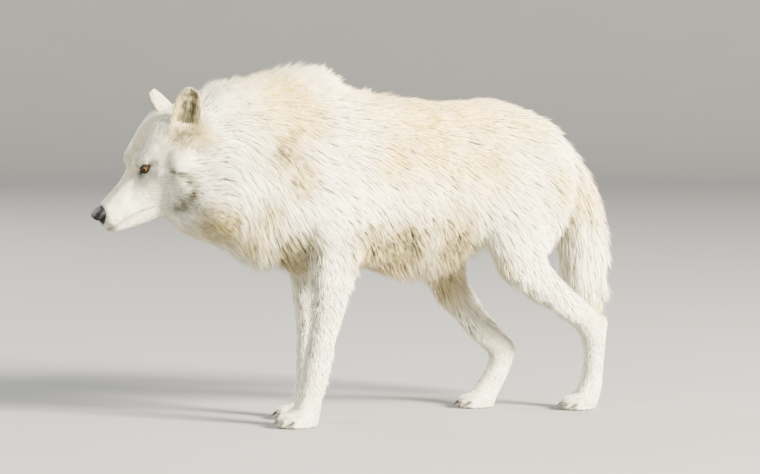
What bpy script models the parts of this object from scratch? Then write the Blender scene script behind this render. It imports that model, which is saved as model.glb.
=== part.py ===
"""Arctic wolf, life size, walking with its head low.

The whole animal is built as one soft form out to the tips of its coat, in the same way as a clay
model: lofted limbs and round muscle masses are fused by a voxel remesh, smoothed and thinned. Flat
cuts 0.4 mm wide then part it where a person would name its parts. Eyes, nose leather, ears and
claws are pieces of their own.

Frame: metres, +Z up, the wolf walks towards -X, its left side is at -Y. The origin is on the floor,
under the middle of the wolf's box.
"""

import math

import bmesh
import bpy
import numpy as np
from mathutils import Matrix, Vector

# Driving sizes
CUT = 0.0004  # width of the cut between two neighbouring parts
FORM_VOXEL = 0.004
FORM_TRIANGLES = 4060
RING_POINTS = 24
STEPS_PER_STATION = 4
FLAT_ANGLE = math.radians(2.0)  # faces that turn less than this count as one flat face
SHARP_ANGLE = math.radians(40)  # edges that turn more than this are shaded as sharp
SQUARENESS = 0.90  # 1 gives oval sections, less gives fuller corners

# Head pose: the nose tip's place, and the angles that the head makes with the trunk
NOSE_TIP = Vector((-0.4765, 0.0535, 0.4435))
HEAD_PITCH = math.radians(39)
HEAD_YAW = math.radians(8)
HEAD_ROLL = math.radians(10)

# Trunk and neck, as upright sections along the body:
# x, y, height of the widest level, half width, reach above it, reach below it
TRUNK = [
    (-0.130, 0.005, 0.500, 0.060, 0.080, 0.090),
    (-0.095, 0.004, 0.500, 0.098, 0.160, 0.140),
    (-0.030, 0.000, 0.505, 0.124, 0.195, 0.165),
    (0.050, 0.000, 0.510, 0.136, 0.194, 0.182),
    (0.150, 0.000, 0.510, 0.141, 0.184, 0.200),
    (0.250, 0.000, 0.508, 0.138, 0.168, 0.200),
    (0.340, 0.000, 0.515, 0.130, 0.157, 0.178),
    (0.420, 0.000, 0.528, 0.124, 0.151, 0.148),
    (0.490, 0.000, 0.540, 0.117, 0.127, 0.120),
    (0.555, 0.000, 0.545, 0.100, 0.089, 0.095),
    (0.605, 0.000, 0.540, 0.070, 0.053, 0.066),
    (0.632, 0.000, 0.535, 0.024, 0.020, 0.024),
]
NECK = [
    (-0.345, 0.034, 0.560, 0.070, 0.060, 0.085),
    (-0.310, 0.031, 0.558, 0.102, 0.100, 0.125),
    (-0.250, 0.024, 0.555, 0.126, 0.145, 0.166),
    (-0.185, 0.016, 0.550, 0.136, 0.170, 0.192),
    (-0.120, 0.010, 0.545, 0.137, 0.188, 0.192),
    (-0.060, 0.005, 0.540, 0.129, 0.202, 0.178),
    (0.000, 0.000, 0.540, 0.112, 0.213, 0.150),
    (0.050, 0.000, 0.545, 0.082, 0.208, 0.100),
    (0.095, 0.000, 0.560, 0.042, 0.155, 0.060),
]

# Legs, from the shoulder or hip down: x, y, z, half width across, half depth fore and aft
LEFT_FORELEG = [
    (0.045, -0.060, 0.600, 0.046, 0.070),
    (0.018, -0.080, 0.500, 0.053, 0.088),
    (0.004, -0.090, 0.415, 0.048, 0.075),
    (0.006, -0.093, 0.350, 0.040, 0.056),
    (0.000, -0.090, 0.275, 0.034, 0.043),
    (-0.012, -0.084, 0.200, 0.028, 0.032),
    (-0.025, -0.078, 0.132, 0.027, 0.029),
    (-0.036, -0.074, 0.072, 0.025, 0.026),
    (-0.046, -0.071, 0.028, 0.028, 0.030),
]
RIGHT_FORELEG = [
    (0.050, 0.060, 0.600, 0.046, 0.070),
    (0.040, 0.080, 0.500, 0.053, 0.088),
    (0.044, 0.090, 0.415, 0.048, 0.075),
    (0.052, 0.093, 0.350, 0.040, 0.056),
    (0.051, 0.090, 0.275, 0.034, 0.043),
    (0.049, 0.084, 0.200, 0.028, 0.032),
    (0.044, 0.078, 0.132, 0.027, 0.029),
    (0.037, 0.074, 0.072, 0.025, 0.026),
    (0.031, 0.071, 0.028, 0.028, 0.030),
]
LEFT_HINDLEG = [
    (0.520, -0.046, 0.600, 0.046, 0.080),
    (0.508, -0.073, 0.505, 0.054, 0.108),
    (0.474, -0.090, 0.420, 0.051, 0.096),
    (0.456, -0.096, 0.350, 0.044, 0.068),
    (0.505, -0.093, 0.292, 0.038, 0.047),
    (0.572, -0.087, 0.242, 0.030, 0.034),
    (0.638, -0.081, 0.196, 0.027, 0.030),
    (0.662, -0.078, 0.158, 0.026, 0.029),
    (0.664, -0.076, 0.108, 0.023, 0.024),
    (0.658, -0.073, 0.050, 0.024, 0.026),
    (0.650, -0.071, 0.026, 0.026, 0.028),
]
RIGHT_HINDLEG = [
    (0.500, 0.046, 0.600, 0.046, 0.080),
    (0.462, 0.073, 0.505, 0.054, 0.104),
    (0.412, 0.090, 0.420, 0.051, 0.090),
    (0.380, 0.096, 0.345, 0.044, 0.066),
    (0.392, 0.093, 0.282, 0.038, 0.050),
    (0.434, 0.088, 0.222, 0.031, 0.039),
    (0.484, 0.082, 0.166, 0.027, 0.032),
    (0.524, 0.079, 0.124, 0.026, 0.029),
    (0.516, 0.077, 0.086, 0.024, 0.026),
    (0.490, 0.074, 0.045, 0.024, 0.026),
    (0.476, 0.071, 0.026, 0.026, 0.028),
]
TAIL = [
    (0.570, 0.000, 0.570, 0.034, 0.034),
    (0.618, 0.002, 0.548, 0.040, 0.042),
    (0.656, 0.006, 0.490, 0.048, 0.052),
    (0.680, 0.012, 0.405, 0.055, 0.060),
    (0.697, 0.020, 0.320, 0.054, 0.058),
    (0.711, 0.028, 0.240, 0.042, 0.045),
    (0.723, 0.034, 0.185, 0.022, 0.024),
    (0.730, 0.037, 0.160, 0.006, 0.006),
]

# Round masses of muscle and bone: centre and radii
MUSCLES = {
    "shoulder_left": ((0.012, -0.070, 0.500), (0.085, 0.056, 0.120)),
    "shoulder_right": ((0.030, 0.070, 0.500), (0.085, 0.056, 0.120)),
    "haunch_left": ((0.520, -0.052, 0.520), (0.100, 0.060, 0.120)),
    "haunch_right": ((0.505, 0.052, 0.520), (0.100, 0.060, 0.120)),
    "heel_left": ((0.683, -0.079, 0.186), (0.017, 0.015, 0.024)),
    "heel_right": ((0.546, 0.079, 0.126), (0.016, 0.015, 0.022)),
}

# Paws: centre on the floor, length and width. The toes point towards -X, splayed a little outwards.
PAWS = {
    "foreleg_left": ((-0.062, -0.071), 0.104, 0.082),
    "foreleg_right": ((0.014, 0.071), 0.104, 0.082),
    "hindleg_left": ((0.634, -0.071), 0.096, 0.072),
    "hindleg_right": ((0.460, 0.071), 0.096, 0.072),
}
PAW_SPLAY = math.radians(6)
PAW_HEIGHT = 0.046
TOES = {"inner": -0.36, "mid_inner": -0.13, "mid_outer": 0.13, "outer": 0.36}
TOE_LENGTH = 0.25  # half a toe's length, as a share of the paw's length
TOE_WIDTH = 0.155  # half a toe's width, as a share of the paw's width
TOE_HEIGHT = 0.40  # half a toe's height, as a share of the paw's height
TOE_LIFT = 0.36
TOE_LEADS = (0.26, 0.13)  # how far the two middle toes and the two side toes reach forward
PAD_BACK = 0.06
PAD_LIFT = 0.40
PAD_SHARES = (0.36, 0.44, 0.56)
SOLE_SINK = 0.004  # how much of the round paw is cut off to leave a flat sole
CLAW_RINGS = [(0.000, 0.0030), (0.009, 0.0027), (0.016, 0.0009)]
CLAW_SIDES = 6
CLAW_SET = 0.62  # how far along a toe its claw starts
CLAW_DROOP = math.radians(28)
CLAW_LIFT = 0.002

# Cuts across the body: a point in the cut, the way that leads off the trunk, and the size of the box
# that is parted there, measured along that way, across and upwards
BODY_CUTS = {
    "tail": ((0.646, 0.022, 0.525), (0.90, 0, -0.43), (0.60, 0.136, 0.60)),
    "neck": ((-0.060, 0, 0.555), (-0.927, 0, 0.375), (0.60, 0.60, 0.80)),
    "head": ((-0.238, 0.02, 0.580), (-0.980, 0.17, -0.10), (0.60, 0.60, 0.80)),
}
JAW_BOX = (0.20, 0.20, 0.09)

# Cuts across the legs. The forelegs are cut level and the hind legs square to the bone.
ELBOW_CUT = 0.310
WRIST_CUT = 0.158
PAW_CUT = 0.062
HIP_CUT = (0.365, 0.3405)
HIP_CUT_WAY = (0.470, 0, -0.883)
HIP_BOX = (0.70, 0.20, 0.515)
HOCK_CUTS = {"hindleg_left": (0.600, 0.236), "hindleg_right": (0.478, 0.172)}
HOCK_CUT_WAY = (0.72, 0, -0.70)
HOCK_BOX = (0.70, 0.20, 0.60)
LEG_BOX_MIDDLE = 0.125  # how far the boxes round the legs are set off the wolf's middle
LEG_BOX_WIDTH = 0.20
ELBOW_BOX_LENGTH = 0.20
ELBOW_BOX_BACK = 0.02
PAW_BOX_LENGTH = 0.40
BELOW_FLOOR = 0.1  # how far the boxes reach below the floor

# The head in its own frame: nose tip at the origin, +X to the back of the skull, +Z to the crown.
# x, height of the widest level, half width, reach above it, reach below it
SKULL = [
    (0.010, -0.016, 0.013, 0.011, 0.016),
    (0.016, -0.020, 0.021, 0.020, 0.018),
    (0.030, -0.024, 0.026, 0.030, 0.020),
    (0.055, -0.027, 0.030, 0.036, 0.025),
    (0.080, -0.029, 0.034, 0.041, 0.031),
    (0.103, -0.027, 0.040, 0.044, 0.041),
    (0.122, -0.021, 0.049, 0.044, 0.057),
    (0.142, -0.013, 0.060, 0.055, 0.077),
    (0.165, -0.008, 0.070, 0.066, 0.096),
    (0.200, -0.006, 0.080, 0.078, 0.108),
    (0.230, -0.006, 0.084, 0.081, 0.110),
    (0.258, -0.008, 0.080, 0.073, 0.104),
    (0.285, -0.010, 0.060, 0.052, 0.080),
]
JAW = [
    (0.010, -0.040, 0.010, 0.009, 0.009),
    (0.018, -0.044, 0.017, 0.014, 0.015),
    (0.042, -0.050, 0.022, 0.020, 0.020),
    (0.072, -0.057, 0.028, 0.026, 0.026),
    (0.104, -0.063, 0.037, 0.032, 0.032),
    (0.138, -0.064, 0.049, 0.036, 0.040),
]
# Masses on both sides of the head: centre and radii
HEAD_PAIRS = {
    "brow": ((0.155, 0.026, 0.026), (0.026, 0.023, 0.020)),
    "cheekbone": ((0.172, 0.046, -0.004), (0.038, 0.026, 0.030)),
    "cheek_ruff": ((0.212, 0.056, -0.034), (0.062, 0.052, 0.070)),
    "hind_ruff": ((0.245, 0.062, -0.046), (0.052, 0.052, 0.066)),
    "lip": ((0.034, 0.014, -0.030), (0.026, 0.016, 0.017)),
    "ear_root": ((0.236, 0.047, 0.034), (0.036, 0.028, 0.034)),
}
CHIN = ((0.027, 0, -0.048), (0.016, 0.015, 0.013))
FACE_MIDDLE = Vector((0.09, 0, -0.01))
FACE_REACH = (0.13, 0.23)  # the faces of the form are fine up to the first and coarse from the second
PAW_REACH = (0.05, 0.11)  # the same, in height above the floor
EYE_RADIUS = 0.0115
EYE_PLACE = Vector((0.1450, 0.0350, 0.0190))
EYE_PIT_PLACE = Vector((0.1345, 0.0470, 0.0200))
EYE_PIT_RADII = (0.0150, 0.0110, 0.0105)
NOSE_CENTRE = Vector((0.0165, 0.0, -0.0100))
NOSE_RADII = (0.0170, 0.0200, 0.0160)
NOSTRIL_PLACE = Vector((0.0015, 0.0095, -0.0110))
NOSTRIL_RADII = (0.0060, 0.0034, 0.0042)
MOUTH_FRONT = Vector((0.0, 0.0, -0.037))
MOUTH_CORNER = Vector((0.112, 0.0, -0.058))

# Ears: root in the head's frame, the way to the tip, and the way that the opening faces
EAR_LENGTH = 0.106
EAR_WIDTH = 0.060
EAR_THICKNESS = 0.0060
EAR_CUP = 0.016  # how deep the opening is cupped
EAR_GRID = (7, 6)  # rows to the tip, columns across
EARS = {
    "ear_left": (Vector((0.246, -0.066, 0.034)), Vector((0.74, 0.10, 0.67)), Vector((-0.30, -0.93, 0.22))),
    "ear_right": (Vector((0.264, 0.024, 0.018)), Vector((0.13, 0.60, 0.79)), Vector((-0.76, 0.58, -0.30))),
}

# Looks of the kinds of piece: colour and roughness
COAT = ((0.80, 0.76, 0.68), 0.85)
LOOKS = {
    "eye": ((0.55, 0.33, 0.08), 0.10),
    "nose": ((0.02, 0.02, 0.024), 0.35),
    "ear": ((0.72, 0.62, 0.48), 0.80),
    "claw": ((0.06, 0.05, 0.045), 0.40),
}


def clear_scene():
    """Empties the file that the script runs in."""
    for obj in list(bpy.data.objects):
        bpy.data.objects.remove(obj, do_unlink=True)


def material(name, colour, roughness):
    """A Principled material with one colour."""
    made = bpy.data.materials.new(name)
    made.use_nodes = True
    shader = made.node_tree.nodes["Principled BSDF"]
    shader.inputs["Base Color"].default_value = (*colour, 1.0)
    shader.inputs["Roughness"].default_value = roughness
    return made


def collection(name):
    """A new collection in the scene."""
    made = bpy.data.collections.new(name)
    bpy.context.scene.collection.children.link(made)
    return made


def object_of(name, bm, home):
    """Turns a bmesh into an object in a collection, and frees the bmesh."""
    mesh = bpy.data.meshes.new(name)
    bm.to_mesh(mesh)
    bm.free()
    obj = bpy.data.objects.new(name, mesh)
    home.objects.link(obj)
    return obj


def baked(obj):
    """Replaces an object's mesh by its evaluated one, and drops its modifiers."""
    graph = bpy.context.evaluated_depsgraph_get()
    mesh = bpy.data.meshes.new_from_object(obj.evaluated_get(graph))
    obj.modifiers.clear()
    obj.data = mesh
    return obj


def smooth_through(stations):
    """Catmull-Rom curve through rows of numbers, with STEPS_PER_STATION rows between two of them."""
    rows = [Vector(row) for row in stations]
    rows = [rows[0] * 2 - rows[1], *rows, rows[-1] * 2 - rows[-2]]
    found = []
    for before, start, end, after in zip(rows, rows[1:], rows[2:], rows[3:]):
        for step in range(STEPS_PER_STATION):
            t = step / STEPS_PER_STATION
            found.append(
                0.5 * ((2 * start) + (end - before) * t
                       + (2 * before - 5 * start + 4 * end - after) * t**2
                       + (3 * start - before - 3 * end + after) * t**3)
            )
    return [*found, rows[-2]]


def loft(bm, rings):
    """Skins rings of points into a closed tube with capped ends."""
    loops = [[bm.verts.new(point) for point in ring] for ring in rings]
    for near, far in zip(loops, loops[1:]):
        for i in range(len(near)):
            j = (i + 1) % len(near)
            bm.faces.new((near[i], near[j], far[j], far[i]))
    bm.faces.new(loops[0][::-1])
    bm.faces.new(loops[-1])


def section(centre, side, up, half_width, above, below):
    """A ring round a centre: a full oval whose upper and lower halves have their own reach."""
    ring = []
    for i in range(RING_POINTS):
        angle = 2 * math.pi * i / RING_POINTS
        across = math.copysign(abs(math.cos(angle)) ** SQUARENESS, math.cos(angle))
        lift = math.copysign(abs(math.sin(angle)) ** SQUARENESS, math.sin(angle))
        reach = above if lift > 0 else below
        ring.append(centre + side * half_width * across + up * reach * lift)
    return ring


def body_loft(bm, stations):
    """Upright sections along the body."""
    rings = []
    for x, y, belt, half_width, above, below in smooth_through(stations):
        rings.append(section(Vector((x, y, belt)), Vector((0, 1, 0)), Vector((0, 0, 1)),
                             half_width, above, below))
    loft(bm, rings)


def limb_loft(bm, stations):
    """Sections square to the line of a leg or of the tail."""
    rows = smooth_through(stations)
    points = [Vector(row[:3]) for row in rows]
    rings = []
    for i, row in enumerate(rows):
        along = (points[min(i + 1, len(points) - 1)] - points[max(i - 1, 0)]).normalized()
        fore = along.cross(Vector((0, 1, 0))).normalized()
        side = fore.cross(along).normalized()
        rings.append(section(points[i], side, fore, row[3], row[4], row[4]))
    loft(bm, rings)


def head_matrix():
    """Takes a point of the head's own frame to the body's frame."""
    turn = Matrix.Rotation(-HEAD_YAW, 4, "Z") @ Matrix.Rotation(-HEAD_PITCH, 4, "Y")
    return Matrix.Translation(NOSE_TIP) @ turn @ Matrix.Rotation(HEAD_ROLL, 4, "X")


def head_loft(bm, stations):
    """Sections square to the head's own axis."""
    place = head_matrix()
    rings = []
    for x, belt, half_width, above, below in smooth_through(stations):
        ring = section(Vector((x, 0, belt)), Vector((0, 1, 0)), Vector((0, 0, 1)),
                       half_width, above, below)
        rings.append([place @ point for point in ring])
    loft(bm, rings)


def ellipsoid(bm, place, radii, segments=20):
    """A sphere stretched to three radii in the frame that place gives."""
    stretch = Matrix.Diagonal((*radii, 1))
    bmesh.ops.create_uvsphere(bm, u_segments=segments, v_segments=segments // 2, radius=1,
                              matrix=place @ stretch)


def add_head_masses(bm):
    """The forms that stand out of the skull: brows, cheekbones, cheek ruffs, lips, ears' roots and chin."""
    place = head_matrix()
    for (x, y, z), radii in HEAD_PAIRS.values():
        for side in (-1, 1):
            ellipsoid(bm, place @ Matrix.Translation((x, side * y, z)), radii)
    ellipsoid(bm, place @ Matrix.Translation(CHIN[0]), CHIN[1])


def add_muscle_masses(bm):
    """Shoulders, haunches and heels."""
    for centre, radii in MUSCLES.values():
        ellipsoid(bm, Matrix.Translation(centre), radii)


def paw_frame(name):
    """The frame of a paw: +X towards the toes, +Y to the outside, origin on the floor."""
    (x, y), _, _ = PAWS[name]
    outside = -1 if y < 0 else 1
    heading = math.pi - outside * PAW_SPLAY
    turn = Matrix.Rotation(heading, 4, "Z")
    mirror = Matrix.Diagonal((1, -outside, 1, 1))
    return Matrix.Translation((x, y, 0)) @ turn @ mirror


def toe_centre(name, share):
    """The middle of a toe in the paw's frame: the two middle toes lead."""
    _, length, width = PAWS[name]
    lead = TOE_LEADS[0] if abs(share) < max(TOES.values()) / 2 else TOE_LEADS[1]
    return Vector((lead * length, share * width, TOE_LIFT * PAW_HEIGHT - SOLE_SINK))


def add_paw(bm, name):
    """A pad and four toes, a little below the floor, where the sole is cut flat."""
    _, length, width = PAWS[name]
    place = paw_frame(name)
    spans = Vector((length, width, PAW_HEIGHT))
    pad = Vector((-PAD_BACK * length, 0, PAD_LIFT * PAW_HEIGHT - SOLE_SINK))
    ellipsoid(bm, place @ Matrix.Translation(pad), Vector(PAD_SHARES) * spans)
    toe_radii = Vector((TOE_LENGTH, TOE_WIDTH, TOE_HEIGHT)) * spans
    for share in TOES.values():
        ellipsoid(bm, place @ Matrix.Translation(toe_centre(name, share)), toe_radii, 14)


def fade(value, limits):
    """1 below the first limit, 0 above the second, and a straight way between them."""
    near, far = limits
    return 1 - min(max((value - near) / (far - near), 0), 1)


def fineness(point, face):
    """1 where the form needs fine faces, on the face, less on the paws, and 0 on the trunk."""
    return max(fade((point - face).length, FACE_REACH), 0.5 * fade(point.z, PAW_REACH))


def weigh(form, name, weight_of):
    """A vertex group whose weights follow a rule, in ten steps."""
    group = form.vertex_groups.new(name=name)
    steps = [[] for _ in range(11)]
    for vertex in form.data.vertices:
        steps[round(10 * weight_of(vertex.co))].append(vertex.index)
    for i, members in enumerate(steps):
        group.add(members, i / 10, "REPLACE")


def whole_form(helpers):
    """The wolf as one closed soft mesh, thinned to about FORM_TRIANGLES."""
    bm = bmesh.new()
    body_loft(bm, TRUNK)
    body_loft(bm, NECK)
    for stations in (LEFT_FORELEG, RIGHT_FORELEG, LEFT_HINDLEG, RIGHT_HINDLEG, TAIL):
        limb_loft(bm, stations)
    head_loft(bm, SKULL)
    head_loft(bm, JAW)
    add_head_masses(bm)
    add_muscle_masses(bm)
    for name in PAWS:
        add_paw(bm, name)
    bmesh.ops.recalc_face_normals(bm, faces=bm.faces)
    form = object_of("whole_form", bm, helpers)

    fuse = form.modifiers.new("fuse", "REMESH")
    fuse.mode = "VOXEL"
    fuse.voxel_size = FORM_VOXEL
    baked(form)

    face = head_matrix() @ FACE_MIDDLE
    weigh(form, "soft", lambda point: 1 - fineness(point, face))
    weigh(form, "sparse", lambda point: 1 - 0.8 * fineness(point, face))
    soften = form.modifiers.new("soften_body", "SMOOTH")
    soften.factor = 0.5
    soften.iterations = 50
    soften.vertex_group = "soft"
    settle = form.modifiers.new("soften_all", "SMOOTH")
    settle.factor = 0.5
    settle.iterations = 6
    thin = form.modifiers.new("thin", "DECIMATE")
    thin.ratio = FORM_TRIANGLES / (2 * len(form.data.polygons))
    thin.vertex_group = "sparse"
    thin.vertex_group_factor = 0.002
    return baked(form)


def box(name, helpers, place, size, grow=0.0):
    """A box cutter in the frame that place gives, larger by grow on every side."""
    bm = bmesh.new()
    grown = [length + 2 * grow for length in size]
    bmesh.ops.create_cube(bm, size=1, matrix=place @ Matrix.Diagonal((*grown, 1)))
    return as_cutter(object_of(name, bm, helpers))


def as_cutter(obj):
    """Marks an object as a cutter."""
    obj.hide_render = True
    obj.display_type = "WIRE"
    return obj


def boolean(obj, cutter, operation):
    """Applies one Boolean at once."""
    step = obj.modifiers.new("cut", "BOOLEAN")
    step.operation = operation
    step.object = cutter
    return baked(obj)


def copy_of(obj, name, home):
    """A copy with its own mesh."""
    made = obj.copy()
    made.data = obj.data.copy()
    made.name = name
    home.objects.link(made)
    return made


def part_off(rest, name, home, helpers, place, size):
    """Parts what lies in a box from rest, as a new piece, with a cut of CUT between the two."""
    piece = copy_of(rest, name, home)
    boolean(piece, box(name + "_keep", helpers, place, size), "INTERSECT")
    boolean(rest, box(name + "_drop", helpers, place, size, CUT), "DIFFERENCE")
    return piece


def facing(point, outward, size):
    """The place of a box of this size that lies outward of a plane through point."""
    outward = Vector(outward).normalized()
    turn = outward.to_track_quat("X", "Z").to_matrix().to_4x4()
    return Matrix.Translation(Vector(point) + outward * (size[0] / 2)) @ turn


def body_cut(name):
    """The place and the size of the box that a cut across the body parts off."""
    point, way, size = BODY_CUTS[name]
    return facing(point, way, size), size


def level_box(x, side, top, length):
    """The place and the size of a box round a leg, from below the floor up to a level cut."""
    size = (length, LEG_BOX_WIDTH, top + BELOW_FLOOR)
    return Matrix.Translation((x, side, (top - BELOW_FLOOR) / 2)), size


def part_legs(trunk, home, helpers):
    """Parts each leg from the trunk, and then in three, down to the paw with its flat sole."""
    pieces = {}
    for name, ((x, y), _, _) in PAWS.items():
        side = math.copysign(LEG_BOX_MIDDLE, y)
        if name.startswith("fore"):
            whole_leg = level_box(x + ELBOW_BOX_BACK, side, ELBOW_CUT, ELBOW_BOX_LENGTH)
            below_knee = level_box(x, side, WRIST_CUT, PAW_BOX_LENGTH)
        else:
            hip = (HIP_CUT[0], side, HIP_CUT[1])
            whole_leg = facing(hip, HIP_CUT_WAY, HIP_BOX), HIP_BOX
            hock = (HOCK_CUTS[name][0], side, HOCK_CUTS[name][1])
            below_knee = facing(hock, HOCK_CUT_WAY, HOCK_BOX), HOCK_BOX
        upper = part_off(trunk, name + "_upper", home, helpers, *whole_leg)
        lower = part_off(upper, name + "_lower", home, helpers, *below_knee)
        paw = part_off(lower, name + "_paw", home, helpers, *level_box(x, side, PAW_CUT, PAW_BOX_LENGTH))
        floor = box(name + "_floor", helpers, *level_box(x, side, 0, PAW_BOX_LENGTH))
        boolean(paw, floor, "DIFFERENCE")
        pieces.update({upper.name: upper, lower.name: lower, paw.name: paw})
    return pieces


def grown_cutter(obj, helpers):
    """A cutter for the socket of obj: its shape, thicker by the width of a cut."""
    bm = bmesh.new()
    bm.from_mesh(obj.data)
    moves = [vertex.normal * vertex.calc_shell_factor() * CUT for vertex in bm.verts]
    for vertex, move in zip(bm.verts, moves):
        vertex.co += move
    return as_cutter(object_of(obj.name + "_socket", bm, helpers))


def claw(name, home, place):
    """A claw along +X that droops to its tip."""
    bm = bmesh.new()
    turn = place.to_3x3()
    length = CLAW_RINGS[-1][0]
    rings = []
    for reach, radius in CLAW_RINGS:
        centre = place @ Vector((reach, 0, -reach * reach / length * math.tan(CLAW_DROOP)))
        rings.append([centre + turn @ Vector((0, math.cos(t), math.sin(t))) * radius
                      for t in (2 * math.pi * k / CLAW_SIDES for k in range(CLAW_SIDES))])
    loft(bm, rings)
    bmesh.ops.recalc_face_normals(bm, faces=bm.faces)
    return object_of(name, bm, home)


def add_claws(pieces, home, helpers):
    """A claw on each toe, in a socket cut for it."""
    for name, (_, length, _) in PAWS.items():
        for toe, share in TOES.items():
            root = toe_centre(name, share) + Vector((CLAW_SET * TOE_LENGTH * length, 0, CLAW_LIFT))
            made = claw(f"{name}_claw_{toe}", home, paw_frame(name) @ Matrix.Translation(root))
            boolean(pieces[name + "_paw"], grown_cutter(made, helpers), "DIFFERENCE")
            pieces[made.name] = made


def ear(name, home):
    """A cupped leaf with a round tip."""
    root, along, faces = EARS[name]
    along = along.normalized()
    faces = (faces - along * faces.dot(along)).normalized()
    side = along.cross(faces)
    place = head_matrix()
    rows, columns = EAR_GRID
    front = []
    rear = []
    for i in range(rows + 1):
        t = i / rows
        half = EAR_WIDTH / 2 * math.sqrt(max(1 - t**4, 0.0)) * (0.80 + 0.55 * t * (1 - t)) + 0.004
        for j in range(columns + 1):
            u = 2 * j / columns - 1
            cup = EAR_CUP * (1 - u * u) * (1 - 0.35 * t)
            base = root + along * EAR_LENGTH * t + side * u * half - faces * cup
            edge = EAR_THICKNESS / 2 * (1.25 - 0.6 * t) * math.sqrt(1 - 0.75 * u * u)
            front.append(place @ (base + faces * edge))
            rear.append(place @ (base - faces * edge))
    return leaf(name, home, front, rear, rows, columns)


def leaf(name, home, front, rear, rows, columns):
    """Closes two sheets of the same grid into one body."""
    bm = bmesh.new()
    sheets = [[bm.verts.new(point) for point in sheet] for sheet in (front, rear)]
    width = columns + 1
    for sheet in sheets:
        for i in range(rows):
            for j in range(columns):
                a = i * width + j
                bm.faces.new((sheet[a], sheet[a + 1], sheet[a + width + 1], sheet[a + width]))
    rim = [j for j in range(width)]
    rim += [i * width + columns for i in range(1, rows + 1)]
    rim += [rows * width + j for j in range(columns - 1, -1, -1)]
    rim += [i * width for i in range(rows - 1, 0, -1)]
    for a, b in zip(rim, rim[1:] + rim[:1]):
        bm.faces.new((sheets[0][a], sheets[0][b], sheets[1][b], sheets[1][a]))
    bmesh.ops.recalc_face_normals(bm, faces=bm.faces)
    return object_of(name, bm, home)


def round_piece(name, home, centre, radii, segments):
    """A ball or an egg in the head's frame."""
    bm = bmesh.new()
    ellipsoid(bm, head_matrix() @ Matrix.Translation(centre), radii, segments)
    return object_of(name, bm, home)


def add_head_pieces(head, home, helpers):
    """Eyes in open pits, the nose leather with its nostrils, and the ears, each in its own socket."""
    pieces = {}
    nose = round_piece("nose", home, NOSE_CENTRE, NOSE_RADII, 16)
    boolean(head, grown_cutter(nose, helpers), "DIFFERENCE")
    pieces["nose"] = nose
    for word, side in (("left", -1), ("right", 1)):
        mirror = Vector((1, side, 1))
        pit = round_piece("eye_pit_" + word, helpers, EYE_PIT_PLACE * mirror, EYE_PIT_RADII, 16)
        boolean(head, as_cutter(pit), "DIFFERENCE")
        eye = round_piece("eye_" + word, home, EYE_PLACE * mirror, [EYE_RADIUS] * 3, 16)
        boolean(head, grown_cutter(eye, helpers), "DIFFERENCE")
        pieces[eye.name] = eye
        nostril = round_piece("nostril_" + word, helpers, NOSTRIL_PLACE * mirror, NOSTRIL_RADII, 8)
        boolean(nose, as_cutter(nostril), "DIFFERENCE")
    for name in EARS:
        made = ear(name, home)
        boolean(head, grown_cutter(made, helpers), "DIFFERENCE")
        pieces[name] = made
    return pieces


def mouth_place(size):
    """The place of the box that parts the lower jaw, under the line of the lips."""
    along = (MOUTH_CORNER - MOUTH_FRONT).normalized()
    up = Vector((0, 1, 0)).cross(along) * -1
    turn = Matrix((along, Vector((0, 1, 0)), up)).transposed().to_4x4()
    corner = MOUTH_CORNER - along * size[0] / 2 - up * size[2] / 2
    return head_matrix() @ Matrix.Translation(corner) @ turn


def finish_faces(piece):
    """Joins the slivers that a cut leaves in a flat face, and shades what is round as round."""
    bm = bmesh.new()
    bm.from_mesh(piece.data)
    bmesh.ops.dissolve_limit(bm, angle_limit=FLAT_ANGLE, verts=bm.verts, edges=bm.edges)
    bmesh.ops.triangulate(bm, faces=bm.faces)
    bm.to_mesh(piece.data)
    bm.free()
    piece.data.shade_smooth()
    piece.data.set_sharp_from_angle(angle=SHARP_ANGLE)


def paint(pieces):
    """Gives each piece the material of what it is."""
    for name, piece in pieces.items():
        kinds = [kind for kind in LOOKS if kind in name.split("_")]
        colour, roughness = LOOKS[kinds[0]] if kinds else COAT
        piece.data.materials.clear()
        piece.data.materials.append(material("finish_" + name, colour, roughness))


def centre_model(pieces):
    """Moves the model so that its box is centred on the origin, with its soles left on the floor."""
    corners = np.array([vertex.co for piece in pieces.values() for vertex in piece.data.vertices])
    middle = (corners.min(axis=0) + corners.max(axis=0)) / 2
    for piece in pieces.values():
        piece.data.transform(Matrix.Translation((-middle[0], -middle[1], 0)))


def main():
    clear_scene()
    home = collection("arctic_wolf")
    helpers = collection("cutters")
    trunk = whole_form(helpers)
    helpers.objects.unlink(trunk)
    home.objects.link(trunk)
    trunk.name = "trunk"

    tail = part_off(trunk, "tail", home, helpers, *body_cut("tail"))
    pieces = {"trunk": trunk, "tail": tail}
    pieces.update(part_legs(trunk, home, helpers))
    neck = part_off(trunk, "neck", home, helpers, *body_cut("neck"))
    head = part_off(neck, "head", home, helpers, *body_cut("head"))
    jaw = part_off(head, "lower_jaw", home, helpers, mouth_place(JAW_BOX), JAW_BOX)
    pieces.update({"neck": neck, "head": head, "lower_jaw": jaw})
    pieces.update(add_head_pieces(head, home, helpers))
    add_claws(pieces, home, helpers)
    for piece in pieces.values():
        finish_faces(piece)
    paint(pieces)
    centre_model(pieces)
    for cutter in list(helpers.objects):
        bpy.data.objects.remove(cutter, do_unlink=True)


main()
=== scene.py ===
"""Arctic wolf, life size, walking with its head low: skin, eyes, nose, claws, whiskers and coat.

One skin lies inside the solids of the flesh by the depth of the coat. It is fused from them, then face,
lids, lips and soles are shaped, and each of its points learns how long, how wide and which way the coat
grows there. The coat's tufts stand on that skin.
Metres, +Z up, the wolf walks towards -X, its left is at -Y.
"""

import math

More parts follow.
